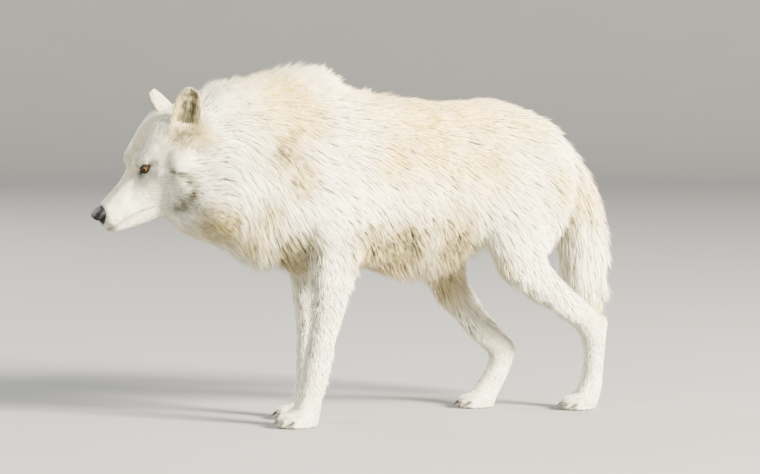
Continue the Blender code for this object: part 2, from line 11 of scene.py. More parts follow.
import bmesh
import bpy
import numpy as np
from bpy.props import FloatProperty, FloatVectorProperty, IntProperty, PointerProperty
from mathutils import Matrix, Vector
from mathutils.bvhtree import BVHTree
from mathutils.kdtree import KDTree


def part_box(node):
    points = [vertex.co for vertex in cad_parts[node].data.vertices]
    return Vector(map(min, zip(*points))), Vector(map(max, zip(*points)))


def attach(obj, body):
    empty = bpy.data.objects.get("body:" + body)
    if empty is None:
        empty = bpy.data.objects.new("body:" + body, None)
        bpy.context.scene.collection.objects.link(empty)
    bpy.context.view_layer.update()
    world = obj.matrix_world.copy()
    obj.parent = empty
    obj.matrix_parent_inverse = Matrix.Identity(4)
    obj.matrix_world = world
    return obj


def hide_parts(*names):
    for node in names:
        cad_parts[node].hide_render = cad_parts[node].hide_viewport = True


bl_info = {
    "name": "Arctic wolf",
    "version": (1, 0, 0),
    "blender": (4, 5, 0),
    "location": "View3D > Sidebar > Wolf",
    "description": "Dresses a life-size arctic wolf in skin and fur",
    "category": "Object",
}

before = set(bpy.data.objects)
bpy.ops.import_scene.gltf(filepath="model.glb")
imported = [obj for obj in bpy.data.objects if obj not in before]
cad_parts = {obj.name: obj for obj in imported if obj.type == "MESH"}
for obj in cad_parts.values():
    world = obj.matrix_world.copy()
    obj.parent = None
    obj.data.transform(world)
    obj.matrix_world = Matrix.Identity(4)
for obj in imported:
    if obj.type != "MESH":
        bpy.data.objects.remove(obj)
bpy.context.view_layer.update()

BODY = "root"
SIDES = {"left": -1, "right": 1}  # which way y goes there
LEGS = tuple(f"{pair}_{side}" for pair in ("foreleg", "hindleg") for side in SIDES)
TOES = ("inner", "mid_inner", "mid_outer", "outer")
EARS = tuple(f"ear_{side}" for side in SIDES)
FLESH = ("trunk", "neck", "head", "lower_jaw", "tail",
         *(f"{leg}_{part}" for leg in LEGS for part in ("upper", "lower", "paw")))
REGIONS = FLESH + EARS
HEAD_REGIONS = ("head", "lower_jaw")
CLAWS = tuple(f"{leg}_claw_{toe}" for leg in LEGS for toe in TOES)
PALETTE = ("White", "Cream", "Tan", "Dark")

# The head's pose and the places on it, in its own frame: nose tip at the origin, +X to the back of the
# skull, +Z to the crown, the wolf's left at -Y
HEAD_PITCH = math.radians(39)
HEAD_YAW = math.radians(8)
HEAD_ROLL = math.radians(10)
EYE_PLACE = Vector((0.1450, 0.0350, 0.0190))
EYE_SOCKET = 0.0145
GAZE = Vector((-0.70, 0.70, 0.08))
CORNEA_HEIGHT = 0.0011
CORNEA_RADIUS = 0.0058
NOSE_CENTRE = Vector((0.0165, 0.0, -0.0095))
NOSE_RADII = Vector((0.0160, 0.0190, 0.0136))
NOSE_SOCKET = (NOSE_CENTRE + Vector((0.0125, 0, -0.0020)), (0.0190, 0.0205, 0.0180))
MOUTH_FRONT = (0.000, -0.037)  # x and z of the line of the lips
MOUTH_CORNER = (0.106, -0.057)
FACE_MIDDLE = (0.09, 0, -0.01)

# The eye's opening, as angles seen from the middle of the eyeball
LID_REACH = 0.92  # from the middle of the opening to each corner
LID_UPPER = 0.50
LID_LOWER = 0.38
LID_SLANT = 0.12  # how much the outer corner is higher
LID_THICKNESS = 0.0012
LID_BACK = 0.0020  # how far the skin lies inside the eyeball where the eye is open

# Ears: root in the head's frame, the way to the tip, the way that the opening faces
EAR_LENGTH = 0.098
EAR_WIDTH = 0.060
EAR_THICKNESS = 0.0040
EAR_CUP = 0.014
EAR_SUNK = 0.008  # how far the leaf starts below its root
EAR_GRID = (30, 20)
EAR_FOOT_RADII = (0.024, 0.018, 0.018)
EAR_SETS = {
    "ear_left": (Vector((0.246, -0.066, 0.034)), Vector((0.74, 0.10, 0.67)), Vector((-0.30, -0.93, 0.22))),
    "ear_right": (Vector((0.264, 0.024, 0.018)), Vector((0.13, 0.60, 0.79)), Vector((-0.76, 0.58, -0.30))),
}

# Forms of the face under the coat, in the head's frame at the wolf's right: start, end, width, height
HEAD_FORMS = {
    "furrow": ((0.112, 0.000, 0.020), (0.205, 0.000, 0.060), 0.0085, -0.0032),
    "brow": ((0.136, 0.024, 0.034), (0.168, 0.048, 0.040), 0.0100, 0.0024),
    "before_eye": ((0.112, 0.026, 0.008), (0.080, 0.026, -0.012), 0.0120, -0.0028),
    "cheekbone": ((0.150, 0.054, -0.002), (0.190, 0.070, -0.008), 0.0120, 0.0020),
    "whisker_pad": ((0.026, 0.018, -0.026), (0.058, 0.026, -0.036), 0.0120, 0.0022),
    "mouth_fold": ((0.116, 0.045, -0.062), (0.104, 0.046, -0.030), 0.0060, -0.0022),
}
# Forms of the nose leather at each side of its middle: y, z, width, how far they go in
NOSE_FORMS = {
    "wing": (0.0150, 0.0016, 0.0042, -0.0022),
    "top": (0.0080, 0.0062, 0.0034, -0.0014),
}
NOSTRIL = (0.0090, -0.0012, 0.0042, 0.0100)  # the same four values
NOSTRIL_SLIT = (0.0125, -0.0048, 0.0018, 0.0046)  # and again
NOSE_GROOVE = (0.0010, 0.0018)  # width, depth

# Whiskers, in the head's frame: x and z of the first root, the step between columns and between rows, and
# how many of each
WHISKER_SETS = (
    ((0.026, -0.027), (0.008, -0.006), (5, 3)),
    ((0.148, 0.048), (0.004, 0.0), (2, 1)),
)
WHISKER_BENDS = (0, 0.25, 0.5, 0.75, 1)  # where along a whisker its points are
WHISKER_DROOP = 0.10  # share of its length that the tip hangs down
WHISKER_RADIUS = 0.00035
WHISKER_START = 0.08  # how far out from the middle of the head a root is looked for

CLAW_STEPS = 8
CLAW_ARCH = 0.0022  # how far the middle of a claw rises
CLAW_RADIUS = 0.0031
CLAW_TIP = 0.0004  # radius
CLAW_FLOOR = 0.0012  # the middle line is nowhere lower

SOLE_HEIGHT = 0.0005  # of the skin over the floor
MILLIMETRES = np.array((0.001, 0.001, 0.001, 1.0))
# The coat in each region: depth over the skin, length and width of a tuft in millimetres, and how far
# its tip hangs down, as a share of its length, or stands out in spikes where that share is below 0
COATS = {
    "trunk": (17, 52, 2.6, 0.04),
    "neck": (22, 58, 2.7, 0.08),
    "head": (6, 17, 1.2, 0.02),
    "lower_jaw": (3.0, 9, 1.2, 0.0),
    "tail": (28, 66, 2.8, 0.15),
    "foreleg_upper": (8, 24, 1.7, 0.05),
    "foreleg_lower": (4, 13, 1.2, 0.0),
    "foreleg_paw": (3, 9, 1.1, 0.0),
    "hindleg_upper": (12, 34, 2.1, 0.06),
    "hindleg_lower": (5, 15, 1.3, 0.0),
    "hindleg_paw": (3, 9, 1.1, 0.0),
    "ear": (1.6, 10, 0.8, 0.0),
}
EAR_HAIR = (0.005, 0.018)  # depth and length of the hair in the cup of the ear
# Places where the coat differs from its region's: what the place is given in, the place, the radius and
# the same four values. "head" is the head's frame, "world" is the world, a node is the shares of its box,
# and a word in braces or a place off the head's middle stands for both sides.
ZONES = {
    "muzzle": ("head", (0.045, 0, -0.030), 0.085, (2.4, 8, 0.75, 0.0)),
    "brow": ("head", (0.150, 0, 0.020), 0.080, (3.2, 11, 0.85, 0.0)),
    "eyes": ("head", (0.130, 0.045, 0.018), 0.034, (2.0, 4.5, 0.8, 0.0)),
    "nose": ("head", (0.020, 0, -0.012), 0.040, (1.6, 4.5, 0.8, 0.0)),
    "withers": ("trunk", (0.10, 0.5, 1.0), 0.130, (8, 56, 2.6, 0.0)),
    "crown": ("head", (0.255, 0, 0.040), 0.050, (12, 30, 1.8, 0.0)),
    "ears": ("ear roots", None, 0.050, (6, 19, 1.3, 0.0)),
    "cheeks": ("head", (0.235, 0.095, -0.050), 0.085, (24, 50, 2.2, 0.10)),
    "chops": ("head", (0.220, 0, -0.110), 0.080, (18, 40, 2.2, 0.15)),
    "mane": ("neck", (0.78, 0.5, 1.0), 0.180, (33, 58, 2.4, -0.08)),
    "nape": ("world", (-0.340, 0.0, 0.690), 0.130, (24, 46, 2.2, -0.09)),
    "ruff": ("neck", (0.50, 0.5, 0.0), 0.170, (38, 80, 2.8, 0.35)),
    "belly": ("trunk", (0.50, 0.5, 0.0), 0.190, (38, 80, 2.8, 0.40)),
    "elbows": ("foreleg_{}_upper", (1.0, 0.5, 0.7), 0.060, (12, 40, 2.3, 0.1)),
    "breeches": ("hindleg_{}_upper", (0.8, 0.5, 0.9), 0.120, (22, 54, 2.6, 0.1)),
    "mane_end": ("world", (-0.070, 0.0, 0.718), 0.105, (40, 37, 2.2, -0.04)),
    "fringes": ("foreleg_{}_lower", (1.15, 0.5, 0.85), 0.050, (5, 26, 1.4, -0.36)),
    "feathers": ("foreleg_{}_lower", (0.85, 0.5, 0.45), 0.050, (5, 22, 1.3, -0.30)),
}
# Which way the coat lies at the top, the middle and the bottom of a region's box
LIES = {
    "trunk": ((1.0, 0.0, 0.05), (0.80, 0.0, -0.55), (0.35, 0.0, -0.95)),
    "neck": ((1.0, 0.0, 0.25), (0.60, 0.0, -0.75), (0.15, 0.0, -1.00)),
    "tail": ((0.55, 0.0, -0.80), (0.20, 0.05, -1.0), (0.10, 0.08, -1.0)),
    "foreleg_upper": ((0.50, 0.0, -0.85), (0.30, 0.0, -1.0), (0.20, 0.0, -1.0)),
    "foreleg_lower": ((0.15, 0.0, -1.0), (0.10, 0.0, -1.0), (0.0, 0.0, -1.0)),
    "foreleg_paw": ((-0.5, 0.0, -1.0), (-0.8, 0.0, -0.7), (-1.0, 0.0, -0.4)),
    "hindleg_upper": ((0.70, 0.0, -0.75), (0.55, 0.0, -0.85), (0.45, 0.0, -1.0)),
    "hindleg_lower": ((0.60, 0.0, -0.70), (0.35, 0.0, -1.0), (0.0, 0.0, -1.0)),
    "hindleg_paw": ((-0.5, 0.0, -1.0), (-0.8, 0.0, -0.7), (-1.0, 0.0, -0.4)),
}
# The same on the head, in its own frame
HEAD_LIES = ((1.0, 0.0, 0.20), (1.0, 0.0, -0.30), (0.85, 0.0, -0.60))

# Markings on both sides, and painted shade under the body: middle with the distance from the wolf's middle
# plane, radius, cream, tan
MARKINGS_AND_SHADE = {
    "saddle": ((0.120, 0.000, 0.700), 0.400, 1.00, 0.04),
    "back": ((0.080, 0.124, 0.607), 0.160, 1.00, 0.16),
    "ribs": ((-0.026, 0.141, 0.568), 0.110, 0.90, 0.14),
    "loin": ((0.207, 0.132, 0.549), 0.130, 1.00, 0.24),
    "rump": ((0.323, 0.106, 0.617), 0.130, 0.80, 0.12),
    "haunch": ((0.400, 0.110, 0.500), 0.110, 0.70, 0.15),
    "nape": ((-0.250, 0.106, 0.660), 0.150, 1.00, 0.14),
    "shoulder_front": ((-0.278, 0.128, 0.592), 0.080, 1.00, 0.66),
    "shoulder_low": ((-0.234, 0.132, 0.537), 0.070, 1.00, 0.72),
    "shoulder_top": ((-0.211, 0.118, 0.632), 0.070, 1.00, 0.32),
    "behind_ear": ((-0.435, 0.076, 0.607), 0.050, 0.90, 0.35),
    # elbow: brown coat and painted shadow in the notch behind the elbow
    "elbow": ((-0.070, 0.112, 0.390), 0.095, 1.00, 0.85),
    # belly_front and belly_rear: tan of the underside, partly painted shade
    "belly_front": ((0.020, 0.110, 0.380), 0.120, 1.00, 0.78),
    "belly_rear": ((0.143, 0.110, 0.395), 0.125, 0.90, 0.64),
    "throat": ((-0.382, 0.075, 0.429), 0.075, 0.90, 0.55),
    "ruff_side": ((-0.298, 0.121, 0.477), 0.060, 0.90, 0.60),
    "ruff_low": ((-0.315, 0.094, 0.414), 0.065, 0.90, 0.45),
    # breast: painted shade of the chest's underside before the forelegs
    "breast_shade": ((-0.232, 0.070, 0.378), 0.090, 1.00, 0.95),
    # inner_thigh: cream coat with painted shade, where the far leg's inside lies in shade
    "inner_thigh": ((0.205, 0.085, 0.300), 0.125, 0.90, 0.55),
    "tail_top": ((0.510, 0.010, 0.480), 0.110, 0.80, 0.20),
    "tail_tip": ((0.575, 0.025, 0.220), 0.090, 0.80, 0.25),
}
MARK_SQUASH = (1, 0.5, 1)  # distances across the body count half in the markings
# Painted shade behind and under the cheek ruff, laid over a real parting of its fur, as grey lines in the
# head's own frame at the wolf's right: start, end, width, share
CHEEK_SHADE_LINES = (
    ((0.172, 0.088, -0.004), (0.187, 0.100, -0.035), 0.0065, 0.80),
    ((0.187, 0.100, -0.035), (0.174, 0.098, -0.066), 0.0080, 0.90),
    ((0.176, 0.098, -0.068), (0.145, 0.078, -0.080), 0.0140, 0.90),
    ((0.165, 0.095, -0.090), (0.182, 0.100, -0.118), 0.0160, 0.65),
)
# Each piece of the coat: its regions, the halves of the body that it covers (-1 the front or the left, 1 the
# rear or the right, 0 both), thousands of tufts
COAT_PIECES = {
    "coat_head_left": (("head", "lower_jaw"), (0, -1), 26),
    "coat_head_right": (("head", "lower_jaw"), (0, 1), 26),
    "coat_neck_left": (("neck",), (0, -1), 21),
    "coat_neck_right": (("neck",), (0, 1), 21),
    "coat_chest_left": (("trunk",), (-1, -1), 19),
    "coat_chest_right": (("trunk",), (-1, 1), 19),
    "coat_loin_left": (("trunk",), (1, -1), 19),
    "coat_loin_right": (("trunk",), (1, 1), 19),
    "coat_forelegs": (("foreleg",), (0, 0), 24),
    "coat_hindleg_left": (("hindleg_left",), (0, 0), 15),
    "coat_hindleg_right": (("hindleg_right",), (0, 0), 15),
    "coat_tail": (("tail",), (0, 0), 15),
    "coat_ears": (("ear",), (0, 0), 11),
}
BARE = 0.5  # no tufts grow where the skin is marked darker, except on the ears
GUARD_SHARE = 0.16  # of the tufts in long coat are longer, thinner guard hairs
SINK_SHARE = 0.36  # the skin sinks by no more than this share of the thickness of the flesh
# A tuft's five corners (foot, three at the knee, tip), its faces, how far each corner is up it, and its
# patch on the layout
TUFT_FACES = np.array(((1, 2, 4), (2, 3, 4), (3, 1, 4), (2, 1, 0), (3, 2, 0), (1, 3, 0)))
TUFT_REACH = (0.0, 0.6, 0.6, 0.6, 1.0)
TUFT_PATCH = np.array(((0, -1), (-1, 0.1), (1, 0.1), (0, 0.1), (0, 1))) * 0.0015
TUFT_FOOT = 0.0012  # how deep it starts under the skin
TUFT_KNEE = 0.45  # how far along it its bend is
TUFT_FLOOR = 0.0006  # no corner is lower

# What is stored on a mesh's vertices: kind, key, how many numbers
FIELDS = {
    "region": ("INT", "value", 1),
    "coat": ("FLOAT_COLOR", "color", 4),
    "lie": ("FLOAT_VECTOR", "vector", 3),
    "mark": ("FLOAT_COLOR", "color", 4),
    "reach": ("FLOAT", "value", 1),
}

# How noise, tone and reach shade the markings: a range and the one that it is taken to
SHADES = {
    "broad_patches": (0.36, 0.64, 0.75, 1.0),
    "fine_patches": (0.30, 0.70, 0.70, 1.10),
    "tan_by_tone": (0.0, 1.0, 1.35, 0.55),
    "tan_by_reach": (0.0, 1.0, 1.30, 0.70),
    "light_by_tone": (0.1, 0.9, 0.76, 1.05),
    # painted shade: the coat is darker towards the roots of its tufts, deep among them, and the skin at reach
    # 0 is as dark as the roots
    "root_shade_by_reach": (0.0, 1.0, 0.72, 1.04),
}
TAN_STRENGTH = 1.7
FUR_ROUGHNESS = 0.65

IRIS_STREAKS = (0.10, 0.045, 0.012, 1)
IRIS_RIM = (0.012, 0.008, 0.006, 1)
PUPIL_BLACK = (0.002, 0.002, 0.002, 1)
EYE_WHITE = (0.045, 0.032, 0.028, 1)
LEATHER_GREY = (0.012, 0.0125, 0.0145, 1)
HORN_DARK = (0.018, 0.015, 0.013, 1)
HORN_PALE = (0.085, 0.068, 0.052, 1)
WHISKER_COLOUR = (0.75, 0.72, 0.66)
FLOOR_COLOUR = (0.26, 0.26, 0.258)
AIR_COLOUR = (0.93, 0.96, 1.0, 1)

# Lights: place, width, colour
LIGHTS = {
    "key_light": ((4.0, -7.8, 4.2), 2.6, (1.0, 0.92, 0.75)),
    "fill_light": ((-7.2, -3.6, 4.4), 5.0, (0.90, 0.95, 1.0)),
    "back_light": ((-2.5, 7.5, 4.5), 5.0, (1.0, 0.97, 0.91)),
}
LIGHT_AIM = Vector((0, 0, 0.4))
FLOOR_FLAT = 11.0  # radius of the flat part
FLOOR_BEND = 4.0  # radius of the curve up to the low wall
FLOOR_SIDES = 96
CAMERA_AIM = Vector((-0.140, -0.0057, 0.380))
CAMERA_SHIFT = (0.149, 0.010)  # of the aim, to the right and up in the view


# Places


def share_point(node, x, y, z):
    """A point by its shares of a node's box, from its low corner."""
    low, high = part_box(node)
    return Vector((low[i] + (high[i] - low[i]) * share for i, share in enumerate((x, y, z))))


def middle_of(node):
    """The middle of a node's box."""
    return share_point(node, 0.5, 0.5, 0.5)


def head_matrix():
    """Takes a point of the head's own frame to the world. The two eyes say where the head is."""
    turn = (Matrix.Rotation(-HEAD_YAW, 4, "Z") @ Matrix.Rotation(-HEAD_PITCH, 4, "Y")
            @ Matrix.Rotation(HEAD_ROLL, 4, "X"))
    between = (middle_of("eye_left") + middle_of("eye_right")) / 2
    back = Matrix.Translation((-EYE_PLACE.x, 0, -EYE_PLACE.z))
    return Matrix.Translation(between) @ turn @ back


HEAD = head_matrix()
HEAD_TURN = HEAD.to_3x3()


def eye_place(side):
    """The middle of an eye in the head's frame."""
    return EYE_PLACE * Vector((1, side, 1))


def eye_axes(side):
    """The way that an eye looks, the way to its outer corner and the way up, in the head's frame."""
    gaze = Vector((GAZE.x, GAZE.y * side, GAZE.z)).normalized()
    outer = Vector((1, 0.9 * side, 0))
    outer = (outer - gaze * outer.dot(gaze)).normalized()
    up = outer.cross(gaze) * -side
    return gaze, outer, up if up.z > 0 else -up


def ear_ways(name):
    """An ear's root, the way to its tip and the way that its opening faces, in the head's frame."""
    root, along, faces = EAR_SETS[name]
    return root, along.normalized(), faces.normalized()


def zone_middles(given_in, place):
    """The middle of a zone of the coat, or of both where it has a twin on the other side."""
    if given_in == "ear roots":
        return [HEAD @ EAR_SETS[name][0] for name in EARS]
    if given_in == "world":
        return [Vector(place)]
    if given_in == "head":
        flips = SIDES.values() if place[1] else (1,)
        return [HEAD @ Vector((place[0], side * place[1], place[2])) for side in flips]
    words = SIDES if "{}" in given_in else ("",)
    return [share_point(given_in.format(word), *place) for word in words]


def lip_line(x):
    """Height of the line of the lips in the head's frame."""
    t = np.clip((x - MOUTH_FRONT[0]) / (MOUTH_CORNER[0] - MOUTH_FRONT[0]), 0, 1)
    return MOUTH_FRONT[1] + (MOUTH_CORNER[1] - MOUTH_FRONT[1]) * t + 0.004 * np.sin(np.pi * t)


# Numbers


def smooth_step(value, low, high):
    """0 below low, 1 above high, and a soft rise between them."""
    t = np.clip((np.asarray(value) - low) / (high - low), 0.0, 1.0)
    return t * t * (3.0 - 2.0 * t)


def bell(value, width):
    """1 at 0 and almost 0 at twice the width."""
    return np.exp(-((np.asarray(value) / width) ** 2))


def unit(rows):
    """Each row at length 1."""
    return rows / np.maximum(np.linalg.norm(rows, axis=-1, keepdims=True), 1e-9)


def along_skin(ways, normals):
    """Ways laid flat on the skin."""
    return ways - normals * (ways * normals).sum(axis=1, keepdims=True)


def turned(matrix, rows, point=True):
    """Rows of points, or of ways where point is False, taken through a matrix."""
    made = rows @ np.array(matrix.to_3x3()).T
    return made + np.array(matrix.translation) if point else made


def distance_to(rows, point):
    """How far each row is from a point."""
    return np.linalg.norm(rows - np.array(point), axis=1)


def line_distance(places, start, end, squash=1.0):
    """How far each place is from the line between two points, with the way across the head squashed."""
    scale = np.array((1, squash, 1))
    places, start, end = places * scale, np.array(start) * scale, np.array(end) * scale
    share = np.clip((places - start) @ (end - start) / ((end - start) @ (end - start)), 0, 1)
    return np.linalg.norm(places - start - share[:, None] * (end - start), axis=1)


def spread(values, pairs, passes, share=0.5):
    """Blends each vertex's values with its neighbours', some times over."""
    values = np.array(values, dtype=float)
    columns = values.reshape(len(values), -1)
    count = np.bincount(pairs.ravel(), minlength=len(values))
    count = np.maximum(count, 1)[:, None]
    ends = np.concatenate((pairs[:, 0], pairs[:, 1]))
    others = np.concatenate((pairs[:, 1], pairs[:, 0]))
    for _ in range(passes):
        near = np.empty_like(columns)
        for k in range(columns.shape[1]):
            near[:, k] = np.bincount(ends, weights=columns[others, k], minlength=len(values))
        columns = columns * (1 - share) + near / count * share
    return columns.reshape(values.shape)


def relief(places, size, seed):
    """A soft unevenness from -1 to 1 with swells of about the given size."""
    rng = np.random.default_rng(seed)
    total = np.zeros(len(places))
    for _ in range(9):
        way = rng.normal(0, 1, 3)
        way = way / np.linalg.norm(way) * 2 * np.pi / (size * rng.uniform(0.7, 1.5))
        total += np.sin(places @ way + rng.uniform(0, 2 * np.pi))
    return np.clip(total / 4.0, -1, 1)


# Meshes


def new_object(name, data):
    """An object in the scene's own collection."""
    obj = bpy.data.objects.new(name, data)
    bpy.context.scene.collection.objects.link(obj)
    return obj


def mesh_of(name, bm):
    """Turns a bmesh into a mesh and frees the bmesh."""
    mesh = bpy.data.meshes.new(name)
    bm.to_mesh(mesh)
    bm.free()
    return mesh


def smooth_object(name, bm):
    """Turns a bmesh into an object with smooth shading."""
    obj = new_object(name, mesh_of(name, bm))
    obj.data.shade_smooth()
    return obj


def apply_modifiers(obj):
    """Applies an object's modifiers."""
    graph = bpy.context.evaluated_depsgraph_get()
    mesh = bpy.data.meshes.new_from_object(obj.evaluated_get(graph))
    obj.modifiers.clear()
    obj.data = mesh


def place_piece(obj, slot, material, *nodes):
    """Gives a finished piece its material and body, and hides the nodes that it stands for. The slot is not
    used.
    """
    obj.data.materials.clear()
    obj.data.materials.append(material)
    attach(obj, BODY)
    if nodes:
        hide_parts(*nodes)


def rows_of(items, key, width, number=float):
    """Reads one value of each item as rows of numbers."""
    rows = np.empty(len(items) * width, dtype=number)
    items.foreach_get(key, rows)
    return rows.reshape(-1, width)


def vertex_places(mesh):
    """The vertices' places as rows."""
    return rows_of(mesh.vertices, "co", 3)


def vertex_normals(mesh):
    """The vertices' normals as rows."""
    return rows_of(mesh.vertex_normals, "vector", 3)


def triangles_of(mesh):
    """The three vertices of each triangle."""
    mesh.calc_loop_triangles()
    return rows_of(mesh.loop_triangles, "vertices", 3, np.int32)


def put_places(mesh, rows):
    """Moves the vertices."""
    mesh.vertices.foreach_set("co", np.ascontiguousarray(rows, dtype=np.float32).ravel())
    mesh.update()


def write_field(mesh, name, values):
    """Stores one of FIELDS on the vertices."""
    kind, key, _ = FIELDS[name]
    layer = mesh.attributes.new(name, kind, "POINT")
    number = np.int32 if kind == "INT" else np.float32
    layer.data.foreach_set(key, np.ascontiguousarray(values, dtype=number).ravel())


def read_field(mesh, name):
    """Reads one of FIELDS from the vertices."""
    kind, key, width = FIELDS[name]
    rows = rows_of(mesh.attributes[name].data, key, width, np.int32 if kind == "INT" else np.float32)
    return rows if width > 1 else rows[:, 0]


def store_fields(mesh, regions, coat, way, marks):
    """Stores what the coat needs to know at each vertex."""
    count = len(mesh.vertices)
    middling = np.full((count, 1), 0.5)
    write_field(mesh, "region", np.zeros(count, dtype=np.int32) + regions)
    write_field(mesh, "coat", coat)
    write_field(mesh, "lie", way)
    write_field(mesh, "mark", np.concatenate((marks, middling), axis=1))
    write_field(mesh, "reach", np.zeros(count))


# Skin


def add_ball(bm, place, radii):
    """An egg of the three radii in the head's frame."""
    matrix = HEAD @ Matrix.Translation(place) @ Matrix.Diagonal((*radii, 1))
    bmesh.ops.create_uvsphere(bm, u_segments=24, v_segments=16, radius=1, matrix=matrix)


def add_flesh(whole, node, grow):
    """Adds a node's mesh with its points merged and pushed outwards, so that it overlaps its neighbours."""
    bm = bmesh.new()
    bm.from_mesh(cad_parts[node].data)
    bmesh.ops.remove_doubles(bm, verts=bm.verts, dist=1e-5)
    bm.normal_update()
    moves = [vertex.normal * grow for vertex in bm.verts]
    for vertex, move in zip(bm.verts, moves):
        vertex.co += move
    mesh = mesh_of("flesh", bm)
    whole.from_mesh(mesh)
    bpy.data.meshes.remove(mesh)


def fuse_flesh(settings):
    """The flesh as one closed mesh. Balls fill the sockets of the eyes, the nose and the ears."""
    whole = bmesh.new()
    for node in FLESH:
        add_flesh(whole, node, settings.overlap)
    for side in SIDES.values():
        add_ball(whole, eye_place(side), [EYE_SOCKET] * 3)
    add_ball(whole, *NOSE_SOCKET)
    for root, along, _ in map(ear_ways, EARS):
        add_ball(whole, root - along * 0.010, EAR_FOOT_RADII)
    skin = new_object("skin", mesh_of("skin", whole))
    fuse = skin.modifiers.new("fuse", "REMESH")
    fuse.mode = "VOXEL"
    fuse.voxel_size = settings.voxel
    soften = skin.modifiers.new("soften", "SMOOTH")
    soften.factor = 0.5
    soften.iterations = settings.smoothing
    apply_modifiers(skin)
    thin_out(skin, settings.triangles)
    return skin


def thin_out(skin, triangles):
    """Leaves the mesh fine on the face and the feet and coarser elsewhere."""
    steps = 10
    places = vertex_places(skin.data)
    in_head = turned(HEAD.inverted(), places)
    near_face = 1 - smooth_step(distance_to(in_head, FACE_MIDDLE), 0.13, 0.22)
    near_floor = 1 - smooth_step(places[:, 2], 0.06, 0.10)
    coarse = np.round(steps * (1 - 0.85 * np.maximum(near_face, near_floor))).astype(int)
    group = skin.vertex_groups.new(name="coarse")
    for step in range(steps + 1):
        group.add(np.flatnonzero(coarse == step).tolist(), step / steps, "REPLACE")
    thin = skin.modifiers.new("thin", "DECIMATE")
    thin.ratio = triangles / (2 * len(skin.data.polygons))
    thin.vertex_group = "coarse"
    thin.vertex_group_factor = 0.001
    apply_modifiers(skin)
    skin.vertex_groups.clear()


def refine(mesh, chosen):
    """Halves the edges whose two ends are chosen."""
    bm = bmesh.new()
    bm.from_mesh(mesh)
    edges = [edge for edge in bm.edges if chosen[edge.verts[0].index] and chosen[edge.verts[1].index]]
    bmesh.ops.subdivide_edges(bm, edges=edges, cuts=1)
    bmesh.ops.triangulate(bm, faces=[face for face in bm.faces if len(face.verts) > 3])
    bm.to_mesh(mesh)
    bm.free()


def refine_face(mesh):
    """Makes the mesh four times as fine round the eyes and along the lips."""
    for reach in (0.024, 0.020):
        in_head = turned(HEAD.inverted(), vertex_places(mesh))
        lips = np.abs(in_head[:, 2] - lip_line(in_head[:, 0])) < 0.4 * reach
        chosen = lips & (in_head[:, 0] < MOUTH_CORNER[0] + 0.01)
        for side in SIDES.values():
            chosen |= distance_to(in_head, eye_place(side)) < reach
        refine(mesh, chosen)


def lid_angles(in_head, side):
    """Of points in the head's frame, seen from the middle of an eye: how far outside the eye's opening they
    are, as an angle that is below 0 inside it, the height above the opening's slanted middle line, the
    distance, and the angle to the way that the eye looks."""
    away = in_head - np.array(eye_place(side))
    distance = np.linalg.norm(away, axis=1)
    ways = away / np.maximum(distance, 1e-6)[:, None]
    gaze, outer, up = (np.array(axis) for axis in eye_axes(side))
    across = np.arctan2(ways @ outer, ways @ gaze)
    height = np.arcsin(np.clip(ways @ up, -1, 1)) - LID_SLANT * across
    bow = np.clip(1 - (across / LID_REACH) ** 2, 0, 1) ** 0.8
    over = np.maximum(height - LID_UPPER * bow, -LID_LOWER * bow - height)
    beyond = np.maximum(np.abs(across) - LID_REACH, 0)
    outside = np.where(beyond > 0, np.hypot(beyond, np.maximum(over, 0)), over)
    turn = np.arccos(np.clip(ways @ gaze, -1, 1))
    return outside, height, distance, turn


def shape_lids(in_head, eye_radius):
    """Lays the skin over the eyeballs as lids with a rolled edge, and behind them where the eye is open."""
    for side in SIDES.values():
        outside, height, distance, turn = lid_angles(in_head, side)
        opened = eye_radius - LID_BACK
        rolled_edge = 0.0006 * bell(outside - 0.10, 0.10)
        crease = 0.0011 * bell(outside - 0.36, 0.07) * (height > 0)
        lid = eye_radius + LID_THICKNESS + rolled_edge - crease
        wanted = opened + (lid - opened) * smooth_step(outside, -0.02, 0.05)
        hold = 1 - smooth_step(outside, 0.30, 0.95)
        hold = hold * (1 - smooth_step(turn, 1.25, 1.60)) * (distance < 0.030)
        centre = np.array(eye_place(side))
        in_head = centre + unit(in_head - centre) * (distance + (wanted - distance) * hold)[:, None]
    return in_head


def shape_face(in_head, normals):
    """Raises and presses in the forms of the face, rolls the upper lip over the line of the lips, and hollows
    the foot of each ear."""
    push = np.zeros(len(in_head))
    for start, end, width, height in HEAD_FORMS.values():
        away = [line_distance(in_head, np.multiply(start, (1, side, 1)), np.multiply(end, (1, side, 1)))
                for side in SIDES.values()]
        push += height * bell(np.minimum(*away), width)
    x = in_head[:, 0]
    off = in_head[:, 2] - lip_line(x)
    there = (1 - smooth_step(x, MOUTH_CORNER[0] - 0.006, MOUTH_CORNER[0] + 0.006)) * (x < 0.14)
    upper_lip = 0.0012 * bell(off - 0.0055, 0.0035)
    parting = 0.0024 * bell(off, 0.0018)
    push += there * (upper_lip - parting)
    shaped = in_head + normals * push[:, None]
    for root, along, faces in map(ear_ways, EARS):
        middle = root + along * 0.022 + faces * 0.018
        hollow = 0.034 * bell(distance_to(in_head, middle), 0.023)
        shaped -= hollow[:, None] * np.array(faces)
    return shaped


def soften_face(in_head, pairs):
    """Evens the skin round the eyes and the feet of the ears."""
    soft = np.zeros(len(in_head))
    feet = [root + along * 0.014 for root, along, _ in map(ear_ways, EARS)]
    for middle in (*map(eye_place, SIDES.values()), *feet):
        soft = np.maximum(soft, bell(distance_to(in_head, middle), 0.030))
    return in_head + (spread(in_head, pairs, 24) - in_head) * soft[:, None]


